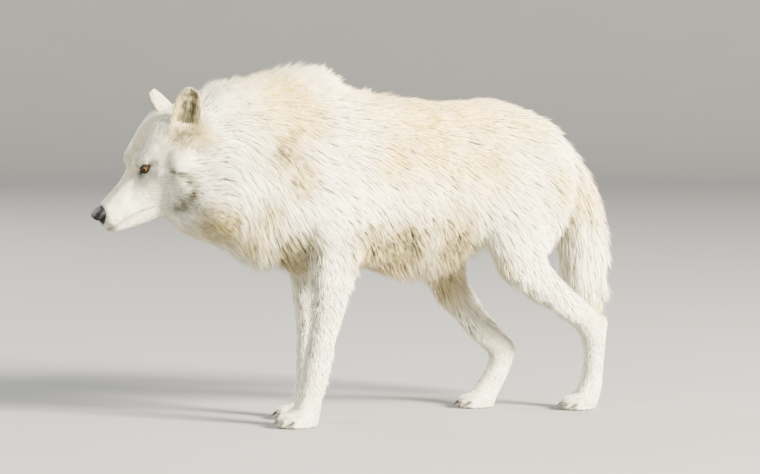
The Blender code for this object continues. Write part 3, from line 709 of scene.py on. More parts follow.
def region_of(places):
    """The region whose solid is nearest to each place."""
    corners = []
    faces = []
    owner = []
    for number, node in enumerate(FLESH):
        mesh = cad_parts[node].data
        rows = triangles_of(mesh) + len(corners)
        corners.extend(vertex_places(mesh).tolist())
        faces.extend(rows.tolist())
        owner.extend([number] * len(rows))
    tree = BVHTree.FromPolygons(corners, faces)
    return np.array([owner[tree.find_nearest(place)[2]] for place in places])


def kind_of(region):
    """The row of COATS and LIES that a region uses."""
    for side in SIDES:
        region = region.replace("_" + side, "")
    return region


def coat_rows(places, regions, pairs):
    """Depth, length, width and hang of the coat at each place, blended between the regions."""
    table = np.array([COATS[kind_of(region)] for region in REGIONS], dtype=float)
    rows = spread(table[regions], pairs, 60)
    for given_in, place, radius, coat in ZONES.values():
        for middle in zone_middles(given_in, place):
            near = 1 - smooth_step(distance_to(places, middle), 0.35 * radius, radius)
            rows += (np.array(coat) - rows) * near[:, None]
    return rows * MILLIMETRES


def lie_rows(places, normals, regions, pairs):
    """The way that the coat lies at each place, along the skin."""
    ways = np.zeros_like(places)
    in_head = turned(HEAD.inverted(), places)
    for number, region in enumerate(FLESH):
        chosen = regions == number
        if region in HEAD_REGIONS:
            share = smooth_step(in_head[chosen, 2], -0.09, 0.07)
            top, middle, bottom = np.array(HEAD_LIES)
        else:
            low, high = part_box(region)
            share = np.clip((places[chosen, 2] - low.z) / (high.z - low.z), 0, 1)
            top, middle, bottom = np.array(LIES[kind_of(region)])
        upper = np.clip(2 * share - 1, 0, 1)[:, None]
        lower = np.clip(1 - 2 * share, 0, 1)[:, None]
        way = middle + (top - middle) * upper + (bottom - middle) * lower
        if region in HEAD_REGIONS:
            way = turned(HEAD, way, point=False)
        ways[chosen] = unit(way)
    for _ in range(6):
        ways = spread(unit(along_skin(ways, normals)), pairs, 6)
    return unit(along_skin(ways, normals))


def thickness_at(mesh, places, normals, farthest):
    """How thick the flesh is under each point of the skin."""
    tree = BVHTree.FromPolygons(places.tolist(), triangles_of(mesh).tolist())
    found = np.empty(len(places))
    for i, (place, normal) in enumerate(zip(places, normals)):
        inwards = Vector(-normal)
        hit = tree.ray_cast(Vector(place) + inwards * 0.0005, inwards, farthest)
        found[i] = farthest if hit[3] is None else hit[3]
    return found


def sink_skin(mesh, coat, on_sole, pairs, even_passes):
    """Moves the skin in by the depth of the coat, but never through thin flesh, and evens it under deep
    coat. Notes the depth that is left in the coat's rows."""
    places = vertex_places(mesh)
    normals = vertex_normals(mesh)
    limit = SINK_SHARE * thickness_at(mesh, places, normals, 0.25)
    depth = np.where(on_sole, 0, np.minimum(coat[:, 0], limit))
    depth = spread(depth, pairs, 8)
    coat[:, 0] = depth
    places = places - normals * depth[:, None]
    places = places + (spread(places, pairs, 4) - places) * smooth_step(depth, 0.002, 0.01)[:, None]
    deep = spread(smooth_step(depth, 0.010, 0.018), pairs, 20)[:, None]
    put_places(mesh, places + (spread(places, pairs, even_passes) - places) * deep)


def build_skin(settings, eye_radius):
    """The whole skin, with what the coat needs to know stored on its vertices."""
    skin = fuse_flesh(settings)
    mesh = skin.data
    refine_face(mesh)
    pairs = rows_of(mesh.edges, "vertices", 2, np.int32)
    places = vertex_places(mesh)
    regions = region_of(places)
    coat = coat_rows(places, regions, pairs)
    on_sole = (vertex_normals(mesh)[:, 2] < -0.5) & (places[:, 2] < 0.008)
    sink_skin(mesh, coat, on_sole, pairs, settings.even_passes)

    in_head = turned(HEAD.inverted(), vertex_places(mesh))
    in_head = shape_face(in_head, turned(HEAD.inverted(), vertex_normals(mesh), point=False))
    in_head = shape_lids(soften_face(in_head, pairs), eye_radius)
    places = turned(HEAD, in_head)
    places[:, 2] = np.where(on_sole, SOLE_HEIGHT, np.maximum(places[:, 2], SOLE_HEIGHT))
    put_places(mesh, places)
    lie = lie_rows(places, vertex_normals(mesh), regions, pairs)
    store_fields(mesh, regions, coat, lie, marks_at(places, in_head))

    shells = [new_object(name, ear_mesh(name)) for name in EARS]
    with bpy.context.temp_override(active_object=skin, selected_editable_objects=[skin, *shells]):
        bpy.ops.object.join()
    skin.data.shade_smooth()
    return skin


# Markings and painted shade


def mark_rows(count, cream=0.0, tan=0.0, dark=0.0):
    """Rows of cream, tan and dark."""
    return np.stack([np.zeros(count) + part for part in (cream, tan, dark)], axis=1)


def body_marks(places):
    """Cream and tan of the body, with painted shade under the body and behind the elbows; a little paler on
    the wolf's right, as painted light on the side that lies in shade.
    """
    mirrored = places * (1, 0, 1) + np.abs(places[:, 1:2]) * (0, 1, 0)
    marks = mark_rows(len(places))
    for middle, radius, cream, tan in MARKINGS_AND_SHADE.values():
        away = np.linalg.norm((mirrored - np.array(middle)) * np.array(MARK_SQUASH), axis=1)
        near = 1 - smooth_step(away, 0.1 * radius, radius)
        marks = np.maximum(marks, mark_rows(len(places), cream * near, tan * near))
    # painted light: the wolf's right lies in shade, so its cream and tan are made paler
    right = smooth_step(places[:, 1], -0.02, 0.06)
    marks[:, 0] *= 1 - 0.25 * right
    marks[:, 1] *= 1 - 0.45 * right
    return marks


def bridge_marks(in_head):
    """A trace of cream along the forehead and the bridge of the muzzle."""
    x, y, z = in_head.T
    bridge = bell(y, 0.018) * smooth_step(z, 0.0, 0.02)
    bridge = bridge * (1 - smooth_step(x, 0.20, 0.26)) * (x < 0.27)
    return mark_rows(len(in_head), cream=0.45 * bridge)


def eye_marks(in_head, side):
    """The dark rim of an eye, the line from its inner corner and the soft shade round both."""
    outside, _, distance, turn = lid_angles(in_head, side)
    near = (distance < 0.026) * (turn < 1.6)
    rim = near * (1 - smooth_step(outside, 0.31, 0.48))
    gaze, outer, _ = eye_axes(side)
    corner = eye_place(side) + (gaze * math.cos(LID_REACH) - outer * math.sin(LID_REACH)) * 0.0125
    tear = line_distance(in_head, corner, corner + Vector((-0.013, side * 0.002, -0.011)))
    shade = near * (1 - smooth_step(outside, 0.30, 0.70))
    return mark_rows(len(in_head), tan=0.45 * np.maximum(shade, bell(tear, 0.007)),
                     dark=np.maximum(rim, 0.9 * bell(tear, 0.0028)))


def line_marks(in_head, side):
    """Painted shade of the cheek on one side: grey lines behind and under the ruff, over a real parting of
    its fur.
    """
    marks = mark_rows(len(in_head))
    flip = (1, side, 1)
    for start, end, width, share in CHEEK_SHADE_LINES:
        away = line_distance(in_head, np.multiply(start, flip), np.multiply(end, flip), 0.15)
        away = away + 1.0 * (in_head[:, 1] * side < 0)
        marks = np.maximum(marks, mark_rows(len(in_head), tan=0.80 * share * bell(away, width),
                                            dark=0.32 * share * bell(away, 0.7 * width)))
    return marks


def ear_foot_marks(in_head, name):
    """The tan before and below an ear's opening."""
    root, along, faces = ear_ways(name)
    foot = np.array(root + along * 0.003 + faces * 0.016) - (0.012, 0, 0)
    near = bell(distance_to(in_head, foot), 0.030)
    return mark_rows(len(in_head), near, 0.85 * near, 0.32 * near**2)


def mouth_marks(in_head):
    """Dark lips, wider in front, a dark bed for the nose, and the groove below it."""
    x, y, z = in_head.T
    wide = 0.0026 + 0.0024 * (1 - smooth_step(x, 0.008, 0.045))
    lips = bell(z - lip_line(x) + 0.4 * (wide - 0.0026), wide)
    lips = lips * (1 - smooth_step(x, MOUTH_CORNER[0] - 0.004, MOUTH_CORNER[0] + 0.004))
    lips = lips * smooth_step(x, -0.03, -0.02)
    nose_bed = 1 - smooth_step(distance_to(in_head, NOSE_CENTRE), 0.0200, 0.0215)
    groove = bell(y, 0.0016) * (x < 0.02) * (z < -0.015) * (z > -0.045) * (np.abs(y) < 0.01)
    return mark_rows(len(in_head), dark=np.maximum.reduce((lips, nose_bed, groove)))


def marks_at(places, in_head):
    """Cream, tan and dark at each place, the same for skin and coat; some of the tan and dark is painted
    shade.
    """
    soles = 1 - smooth_step(places[:, 2], 0.002, 0.006)
    layers = [body_marks(places), bridge_marks(in_head), mouth_marks(in_head),
              mark_rows(len(places), dark=0.9 * soles)]
    for side in SIDES.values():
        layers += [eye_marks(in_head, side), line_marks(in_head, side)]
    layers += [ear_foot_marks(in_head, name) for name in EARS]
    return np.maximum.reduce(layers)


# Ears


def ear_shell(name):
    """The mesh of a cupped leaf with a round tip, the way along it and the way that its cup faces."""
    root, along, _ = ear_ways(name)
    faces = EAR_SETS[name][2]
    faces = (faces - along * faces.dot(along)).normalized()
    side = along.cross(faces)
    rows, columns = EAR_GRID
    bm = bmesh.new()
    sheets = ([], [])
    for i in range(rows + 1):
        t = i / rows
        half = EAR_WIDTH / 2 * math.sqrt(max(1 - t**3.2, 0.0)) * (1.0 - 0.10 * t) + 0.001
        for j in range(columns + 1):
            u = 2 * j / columns - 1
            cup = EAR_CUP * (1 - u * u) * (1.45 - 0.95 * t)
            base = root + along * (EAR_LENGTH * t - EAR_SUNK) + side * u * half - faces * cup
            edge = EAR_THICKNESS / 2 * math.sqrt(max(1 - 0.92 * u**6, 0.0)) * math.sqrt(1 - 0.9 * t**8)
            for sheet, way in zip(sheets, (1, -1)):
                sheet.append(HEAD @ (base + faces * edge * way))
    front, back = ([bm.verts.new(point) for point in sheet] for sheet in sheets)
    width = columns + 1
    for sheet in (front, back):
        for i in range(rows):
            for j in range(columns):
                a = i * width + j
                bm.faces.new((sheet[a], sheet[a + 1], sheet[a + width + 1], sheet[a + width]))
    rim = [*range(width), *(i * width + columns for i in range(1, rows + 1)),
           *(rows * width + j for j in range(columns - 1, -1, -1)),
           *(i * width for i in range(rows - 1, 0, -1))]
    for a, b in zip(rim, rim[1:] + rim[:1]):
        bm.faces.new((front[a], front[b], back[b], back[a]))
    bmesh.ops.recalc_face_normals(bm, faces=bm.faces)
    bmesh.ops.triangulate(bm, faces=bm.faces)
    return mesh_of(name + "_shell", bm), HEAD_TURN @ along, HEAD_TURN @ faces


def ear_mesh(name):
    """The ear's mesh with its coat and markings stored on it, and painted shadow in its cup. The right ear is
    paler, as painted light on the side in shade.
    """
    mesh, along, faces = ear_shell(name)
    normals = vertex_normals(mesh)
    count = len(normals)
    root, raw_along, raw_faces = EAR_SETS[name]
    away = vertex_places(mesh) - np.array(HEAD @ root)
    height = away @ np.array(along) / EAR_LENGTH
    across = away @ np.array(HEAD_TURN @ raw_along.cross(raw_faces)) / (EAR_WIDTH / 2)
    inside = normals @ np.array(faces) > 0.2
    coat = np.array([COATS["ear"]] * count) * MILLIMETRES
    coat[inside, :2] = EAR_HAIR
    coat[:, 1] *= 1 + 0.8 * (1 - smooth_step(height, 0.0, 0.35)) - 0.65 * smooth_step(height, 0.55, 0.95)
    way = along_skin(np.array([np.array(along)] * count), normals)
    # tan in the cup, strongest down its middle: the inner ear's own tan, and painted shade in the hollow
    deep = inside * (1 - smooth_step(np.abs(across), 0.35, 0.85))
    cream = np.where(inside, 0.8, 0.35)
    tan = np.where(inside, 0.30 + 0.70 * deep, 0.10) * (1 - 0.7 * smooth_step(height, 0.75, 0.95))
    # painted shadows between the hairs in the cup, as two dark streaks
    cup_shadows = bell(across - 0.38, 0.16) + 0.7 * bell(across + 0.30, 0.12)
    dark = inside * cup_shadows * smooth_step(height, 0.12, 0.36) * (1 - smooth_step(height, 0.50, 0.72))
    dark = 0.52 * np.minimum(1.3 * dark, 1.0)
    # painted light: the right ear lies in shade, so its tan and dark are made paler
    if name == "ear_right":
        tan, dark = 0.60 * tan, 0.45 * dark
    store_fields(mesh, REGIONS.index(name), coat, unit(way), mark_rows(count, cream, tan, dark))
    return mesh


# Coat


def unwrap(places, regions):
    """Each place on a flat layout of the skin, from 0 to 1: round the body's axis across, and along it up.
    Each region has its own strip."""
    made = np.zeros((len(places), 2))
    strips = sorted(set(regions.tolist()))
    for number, region in enumerate(strips):
        chosen = regions == region
        name = REGIONS[region]
        rows = places[chosen]
        if name in HEAD_REGIONS:
            rows = turned(HEAD.inverted(), rows)
            along = (rows[:, 0] + 0.02) / 0.34
            angle = np.arctan2(rows[:, 1], rows[:, 2] + 0.02)
        elif name in EARS:
            root, way, faces = EAR_SETS[name]
            away = turned(HEAD.inverted(), rows) - np.array(root)
            along = away @ np.array(way.normalized()) / (1.2 * EAR_LENGTH) + 0.05
            angle = away @ np.array(way.cross(faces).normalized()) / EAR_WIDTH * 3.0
        else:
            low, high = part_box(name)
            shares = (rows - np.array(low)) / (np.array(high) - np.array(low))
            if name in ("trunk", "neck"):
                middle = (low + high) / 2
                along = shares[:, 0]
                angle = np.arctan2(rows[:, 1] - middle.y, rows[:, 2] - middle.z)
            else:
                along = shares[:, 2]
                slices = np.clip((along * 12).astype(int), 0, 12)
                count = np.maximum(np.bincount(slices, minlength=13), 1)
                x, y = (rows[:, k] - (np.bincount(slices, weights=rows[:, k], minlength=13) / count)[slices]
                        for k in (0, 1))
                angle = np.arctan2(y, x)
        around = (angle / (2 * np.pi) + 0.5) % 1.0
        made[chosen, 0] = (number + 0.02 + 0.96 * around) / len(strips)
        made[chosen, 1] = 0.01 + 0.98 * np.clip(along, 0, 1)
    return made


def scatter(mesh, names, halves, count, rng):
    """Roots on the skin of the regions whose names start with the given words, on the given halves of the
    body: fewer where the tufts are large, so that they cover it evenly."""
    places = vertex_places(mesh)
    normals = vertex_normals(mesh)
    coat, lie, mark, region = (read_field(mesh, name) for name in ("coat", "lie", "mark", "region"))
    rows = triangles_of(mesh)
    wanted = [number for number, name in enumerate(REGIONS) if name.startswith(names)]
    rows = rows[np.isin(region[rows[:, 0]], wanted)]
    middle = places[rows].mean(axis=1)
    on_head = np.isin(region[rows[:, 0]], [REGIONS.index(name) for name in HEAD_REGIONS])
    across = np.where(on_head, turned(HEAD.inverted(), middle)[:, 1], middle[:, 1])
    rows = rows[(halves[0] * (middle[:, 0] - middle_of("trunk").x) >= 0) & (halves[1] * across >= 0)]
    corner = places[rows]
    area = np.linalg.norm(np.cross(corner[:, 1] - corner[:, 0], corner[:, 2] - corner[:, 0]), axis=1)
    size = coat[rows].mean(axis=1)
    dark = mark[rows, 2].mean(axis=1) * (region[rows[:, 0]] < REGIONS.index(EARS[0]))
    weight = area / (size[:, 1] * size[:, 2]) * (dark < BARE)
    total = np.cumsum(weight)
    spot = (np.arange(count) + rng.random(count)) / count * total[-1]
    pick = rows[np.minimum(np.searchsorted(total, spot), len(rows) - 1)]
    a, b = rng.random(count), rng.random(count)
    over = a + b > 1
    a[over], b[over] = 1 - a[over], 1 - b[over]
    share = np.stack((1 - a - b, a, b), axis=1)[:, :, None]
    return {
        "place": (places[pick] * share).sum(axis=1),
        "normal": unit((normals[pick] * share).sum(axis=1)),
        "coat": (coat[pick] * share).sum(axis=1),
        "lie": unit((lie[pick] * share).sum(axis=1)),
        "mark": (mark[pick] * share).sum(axis=1)[:, :3],
        "region": region[pick[:, 0]],
    }


def gather(place, length, tip, knee, tone, size, strength):
    """Pulls the tufts' tips, knees and tones towards those of the nearest leader, so that they form locks."""
    leaders = np.arange(len(place))[:: max(size, 1)]
    tree = KDTree(len(leaders))
    for number, leader in enumerate(leaders):
        tree.insert(place[leader], number)
    tree.balance()
    nearest = leaders[[tree.find(spot)[1] for spot in place]]
    apart = np.linalg.norm(place - place[nearest], axis=1)
    pull = (strength * (apart < 0.8 * length))[:, None]
    tip = tip + (tip[nearest] - tip) * pull
    knee = knee + (knee[nearest] - knee) * pull * 0.4
    tone = tone + (tone[nearest] - tone) * 0.35
    return tip, knee, tone


def lay_tufts(roots, settings, rng):
    """Where each tuft's foot, knee and tip are, with its width and tone. The tufts come in a mixed order."""
    place, normal, lie = roots["place"], roots["normal"], roots["lie"]
    depth, length, width, hang = roots["coat"].T
    count = len(place)
    order = rng.permutation(count)
    long_coat = smooth_step(length, 0.010, 0.045)

    stray = rng.normal(0, 1, count) * (settings.stray + 0.5 * settings.stray * long_coat)
    way = lie * np.cos(stray)[:, None] + np.cross(normal, lie) * np.sin(stray)[:, None]
    length = length * rng.uniform(0.60, 1.10, count)
    guard = (rng.random(count) < GUARD_SHARE) * long_coat
    length = length * (1 + 0.20 * guard)
    width = width * (1 - 0.55 * guard)
    swell = relief(place, 0.075, settings.seed)
    swell += 0.5 * relief(place, 0.028, settings.seed + 50)
    swell += 0.8 * relief(place, 0.016, settings.seed + 60)
    uneven = (1 + long_coat * settings.relief * swell) * (1 + 0.30 * guard)
    lift = np.clip(depth / length * uneven * rng.uniform(0.40, 1.30, count), 0.04, 0.90)
    rise = np.minimum(lift * 1.5, 0.95)
    foot = place - normal * TUFT_FOOT
    knee_way = way * np.sqrt(1 - rise**2)[:, None] + normal * rise[:, None]
    tip_way = way * np.sqrt(1 - lift**2)[:, None] + normal * lift[:, None]
    knee = place + TUFT_KNEE * length[:, None] * knee_way
    tip = place + length[:, None] * tip_way
    fall = np.maximum(hang, 0) * length * (0.35 + 0.65 * np.maximum(-normal[:, 2], 0))
    tip[:, 2] -= fall
    knee[:, 2] -= 0.3 * fall
    spikes = 1 + relief(place, 0.013, settings.seed + 70)
    stand = normal * (np.maximum(-hang, 0) * length * spikes)[:, None]
    tip = tip + stand
    knee = knee + 0.3 * stand
    strength = settings.gather * (0.35 + 0.65 * long_coat)

    tone = rng.random(count)
    place, length, tip, knee, strength = (rows[order] for rows in (place, length, tip, knee, strength))
    for size, share in ((settings.lock_size, 1.0), (5 * settings.lock_size, 0.35)):
        tip, knee, tone = gather(place, length, tip, knee, tone, size, strength * share)
    spots = unwrap(place, roots["region"][order])
    return foot[order], knee, tip, normal[order], width[order], tone, roots["mark"][order], spots


def grow_tufts(name, roots, settings, rng):
    """Tufts as one mesh: each is a bent spindle with a triangle at its knee and a point at either end. Its
    normals lean towards the skin's, so that the tufts are shaded as one soft surface."""
    foot, knee, tip, normal, width, tone, mark, spots = lay_tufts(roots, settings, rng)
    count = len(foot)
    along = unit(tip - foot)
    across = unit(np.cross(normal, along))
    up = unit(np.cross(along, across))
    roll = rng.uniform(-0.6, 0.6, count)[:, None]
    blade = across * np.cos(roll) + up * np.sin(roll)
    ridge = up * np.cos(roll) - across * np.sin(roll)
    half = (width * rng.uniform(0.35, 0.65, count))[:, None]
    knees = (knee - blade * half, knee + blade * half, knee + ridge * half * 0.7)
    corners = np.stack((foot, *knees, tip), axis=1)
    corners[:, :, 2] = np.maximum(corners[:, :, 2], TUFT_FLOOR)
    own = np.stack((ridge, ridge - blade, ridge + blade, ridge, ridge), axis=1)
    facing = (normal * settings.softness)[:, None, :] + own * (1 - settings.softness)

    loops = (TUFT_FACES.ravel()[None, :] + 5 * np.arange(count)[:, None]).ravel()
    mesh = bpy.data.meshes.new(name)
    mesh.vertices.add(5 * count)
    mesh.vertices.foreach_set("co", corners.astype(np.float32).ravel())
    mesh.loops.add(len(loops))
    mesh.loops.foreach_set("vertex_index", loops.astype(np.int32))
    mesh.polygons.add(len(TUFT_FACES) * count)
    mesh.polygons.foreach_set("loop_start", np.arange(0, len(loops), 3, dtype=np.int32))
    mesh.update(calc_edges=True)
    mesh.shade_smooth()
    write_field(mesh, "mark", np.repeat(np.concatenate((mark, tone[:, None]), axis=1), 5, axis=0))
    write_field(mesh, "reach", np.tile(TUFT_REACH, count))
    patches = (spots[:, None, :] + TUFT_PATCH[None, :, :]).reshape(-1, 2)
    layer = mesh.uv_layers.new(name="OFBake")
    layer.data.foreach_set("uv", patches[loops].astype(np.float32).ravel())
    mesh.normals_split_custom_set_from_vertices(unit(facing.reshape(-1, 3)))
    return new_object(name, mesh)


# Materials


def node(tree, kind, inputs=None, **values):
    """A node with some of its properties set. Each input is linked to a socket or given a constant value."""
    made = tree.nodes.new(kind)
    for key, value in values.items():
        setattr(made, key, value)
    for key, value in (inputs or {}).items():
        if isinstance(value, bpy.types.NodeSocket):
            tree.links.new(value, made.inputs[key])
        else:
            made.inputs[key].default_value = value
    return made


def object_place(tree):
    """Where a point is in its object."""
    return node(tree, "ShaderNodeTexCoord").outputs["Object"]


def mix_colours(tree, share, first, second, way="MIX"):
    """Mixes two colours by a share."""
    inputs = {0: share, 6: first, 7: second}
    return node(tree, "ShaderNodeMix", inputs, data_type="RGBA", blend_type=way).outputs[2]


def maths(tree, way, first, second):
    """One step of arithmetic."""
    return node(tree, "ShaderNodeMath", {0: first, 1: second}, operation=way).outputs[0]


def noise(tree, place, scale, detail=3.0):
    """Noise at a place, about 0.5 on average."""
    inputs = {"Scale": scale, "Detail": detail, "Vector": place}
    return node(tree, "ShaderNodeTexNoise", inputs).outputs["Fac"]


def fit(tree, value, low, high, out_low=0.0, out_high=1.0):
    """Takes a range of values softly to another one."""
    inputs = {0: value, 1: low, 2: high, 3: out_low, 4: out_high}
    return node(tree, "ShaderNodeMapRange", inputs, interpolation_type="SMOOTHSTEP").outputs[0]


def set_bumps(tree, shader, height, distance, strength, invert=False):
    """Gives the shader small bumps."""
    inputs = {"Distance": distance, "Strength": strength, "Height": height}
    bump = node(tree, "ShaderNodeBump", inputs, invert=invert)
    tree.links.new(bump.outputs["Normal"], shader.inputs["Normal"])


def add_socket(tree, name, way, kind, value=None):
    """Adds a socket to a node group."""
    made = tree.interface.new_socket(name=name, in_out=way, socket_type=kind)
    if value is not None:
        made.default_value = value


def markings_group():
    """The colours of skin and coat from the marks on them, broken up by soft noise, with painted shade
    towards the tufts' roots.
    """
    tree = bpy.data.node_groups.new("wolf_markings", "ShaderNodeTree")
    add_socket(tree, "Place", "INPUT", "NodeSocketVector")
    add_socket(tree, "Mark", "INPUT", "NodeSocketColor")
    add_socket(tree, "Tone", "INPUT", "NodeSocketFloat", 0.5)
    add_socket(tree, "Reach", "INPUT", "NodeSocketFloat", 1.0)
    for name in PALETTE:
        add_socket(tree, name, "INPUT", "NodeSocketColor", (0.5, 0.5, 0.5, 1))
    add_socket(tree, "Color", "OUTPUT", "NodeSocketColor")
    given = node(tree, "NodeGroupInput").outputs
    cream_mark, tan_mark, dark_mark = node(tree, "ShaderNodeSeparateColor", {0: given["Mark"]}).outputs
    broad = fit(tree, noise(tree, given["Place"], 12.0), *SHADES["broad_patches"])
    fine = fit(tree, noise(tree, given["Place"], 70.0), *SHADES["fine_patches"])
    patchy = maths(tree, "MULTIPLY", broad, fine)
    cream = maths(tree, "MULTIPLY", cream_mark, patchy)
    streaks = fit(tree, given["Tone"], *SHADES["tan_by_tone"])
    roots = fit(tree, given["Reach"], *SHADES["tan_by_reach"])
    patchy = maths(tree, "MULTIPLY", patchy, maths(tree, "MULTIPLY", streaks, roots))
    tan = maths(tree, "MULTIPLY", maths(tree, "MULTIPLY", tan_mark, patchy), TAN_STRENGTH)
    tan = maths(tree, "MINIMUM", tan, 1.0)
    colour = mix_colours(tree, cream, given["White"], given["Cream"])
    colour = mix_colours(tree, tan, colour, given["Tan"])
    tone = fit(tree, given["Tone"], *SHADES["light_by_tone"])
    # painted shade towards the roots of the tufts
    reach = fit(tree, given["Reach"], *SHADES["root_shade_by_reach"])
    light = maths(tree, "MULTIPLY", tone, reach)
    grey = node(tree, "ShaderNodeCombineColor", {0: light, 1: light, 2: light}).outputs[0]
    colour = mix_colours(tree, 1.0, colour, grey, "MULTIPLY")
    colour = mix_colours(tree, dark_mark, colour, given["Dark"])
    node(tree, "NodeGroupOutput", {"Color": colour})
    return tree


def principled(name, roughness, specular, **values):
    """A material with a Principled shader and its constant values. Returns the material, its nodes and the
    shader."""
    made = bpy.data.materials.new(name)
    made.use_nodes = True
    shader = made.node_tree.nodes["Principled BSDF"]
    shader.inputs["Roughness"].default_value = roughness
    shader.inputs["Specular IOR Level"].default_value = specular
    for key, value in values.items():
        shader.inputs[key.replace("_", " ")].default_value = value
    return made, made.node_tree, shader


def furred_material(name, palette, bump_scale, bump_height, sheen):
    """Skin or coat in the wolf's markings."""
    made, tree, shader = principled(name, FUR_ROUGHNESS, 0.25, Sheen_Weight=sheen, Sheen_Roughness=0.5)
    place = object_place(tree)
    mark = node(tree, "ShaderNodeAttribute", attribute_name="mark")
    reach = node(tree, "ShaderNodeAttribute", attribute_name="reach")
    group = bpy.data.node_groups.get("wolf_markings") or markings_group()
    coloured = node(tree, "ShaderNodeGroup", node_tree=group)
    tree.links.new(place, coloured.inputs["Place"])
    tree.links.new(mark.outputs["Color"], coloured.inputs["Mark"])
    tree.links.new(mark.outputs["Alpha"], coloured.inputs["Tone"])
    tree.links.new(reach.outputs["Fac"], coloured.inputs["Reach"])
    for key in PALETTE:
        coloured.inputs[key].default_value = (*getattr(palette, key.lower()), 1)
    tree.links.new(coloured.outputs["Color"], shader.inputs["Base Color"])
    set_bumps(tree, shader, noise(tree, place, bump_scale, 4.0), bump_height, 0.6)
    return made


def eye_material(name, centre, gaze, face):
    """A wet eyeball: pupil, rayed iris with a dark rim, and a shaded white."""
    made, tree, shader = principled(name, 0.12, 0.05, Coat_Weight=0.14, Coat_Roughness=0.02)
    kind = "ShaderNodeVectorMath"
    away = node(tree, kind, {0: object_place(tree), 1: centre}, operation="SUBTRACT").outputs[0]
    ahead = node(tree, kind, {0: away, 1: gaze}, operation="DOT_PRODUCT").outputs["Value"]
    axis = node(tree, kind, {0: gaze, "Scale": ahead}, operation="SCALE").outputs[0]
    off = node(tree, kind, {0: away, 1: axis}, operation="SUBTRACT").outputs[0]
    radius = node(tree, kind, {0: off}, operation="LENGTH").outputs["Value"]
    ray = node(tree, kind, {0: off}, operation="NORMALIZE").outputs[0]
    rays = noise(tree, ray, 14.0, 2.0)
    inner, outer = (*face.iris_inner, 1), (*face.iris_outer, 1)
    iris = mix_colours(tree, fit(tree, radius, face.pupil, face.iris * 0.8), inner, outer)
    iris = mix_colours(tree, fit(tree, rays, 0.35, 0.65, 0.0, 0.55), iris, IRIS_STREAKS)
    iris = mix_colours(tree, fit(tree, radius, face.iris * 0.80, face.iris), iris, IRIS_RIM)
    beside_pupil = fit(tree, radius, face.pupil * 0.92, face.pupil * 1.08)
    colour = mix_colours(tree, beside_pupil, PUPIL_BLACK, iris)
    beside_iris = fit(tree, radius, face.iris * 0.97, face.iris * 1.06)
    colour = mix_colours(tree, beside_iris, colour, EYE_WHITE)
    tree.links.new(colour, shader.inputs["Base Color"])
    return made


def leather_material(palette):
    """Nose leather, finely pebbled and moist."""
    made, tree, shader = principled("nose_leather", 0.50, 0.12, Coat_Weight=0.02, Coat_Roughness=0.25)
    place = object_place(tree)
    pebbles = node(tree, "ShaderNodeTexVoronoi", {"Scale": 900.0, "Vector": place}, feature="F1")
    set_bumps(tree, shader, pebbles.outputs["Distance"], 0.0006, 0.7, invert=True)
    patches = fit(tree, noise(tree, place, 120.0), 0.3, 0.7)
    colour = mix_colours(tree, patches, (*palette.dark, 1), LEATHER_GREY)
    tree.links.new(colour, shader.inputs["Base Color"])
    return made


def horn_material():
    """Claws: dark horn with pale grain."""
    made, tree, shader = principled("claw_horn", 0.35, 0.5)
    grain = fit(tree, noise(tree, object_place(tree), 500.0), 0.3, 0.7)
    tree.links.new(mix_colours(tree, grain, HORN_DARK, HORN_PALE), shader.inputs["Base Color"])
    return made


def plain_material(name, colour, roughness):
    """One colour with a trace of unevenness."""
    made, tree, shader = principled(name, roughness, 0.2)
    shade = tuple(0.94 * part for part in colour)
    mixed = mix_colours(tree, noise(tree, object_place(tree), 3.0), (*colour, 1), (*shade, 1))
    tree.links.new(mixed, shader.inputs["Base Color"])
    return made


# Small pieces of the head and the paws


def eyeball(name, side, face):
    """An eyeball with a low cornea."""
    gaze = eye_axes(side)[0]
    bm = bmesh.new()
    bmesh.ops.create_uvsphere(bm, u_segments=48, v_segments=32, radius=face.eye_radius,
                              matrix=gaze.to_track_quat("Z", "Y").to_matrix().to_4x4())
    for vertex in bm.verts:
        ahead = vertex.co.dot(gaze)
        off = (vertex.co - gaze * ahead).length
        if ahead > 0:
            vertex.co += gaze * CORNEA_HEIGHT * math.exp(-((off / CORNEA_RADIUS) ** 4))
    bm.transform(HEAD @ Matrix.Translation(eye_place(side)))
    return smooth_object(name, bm)


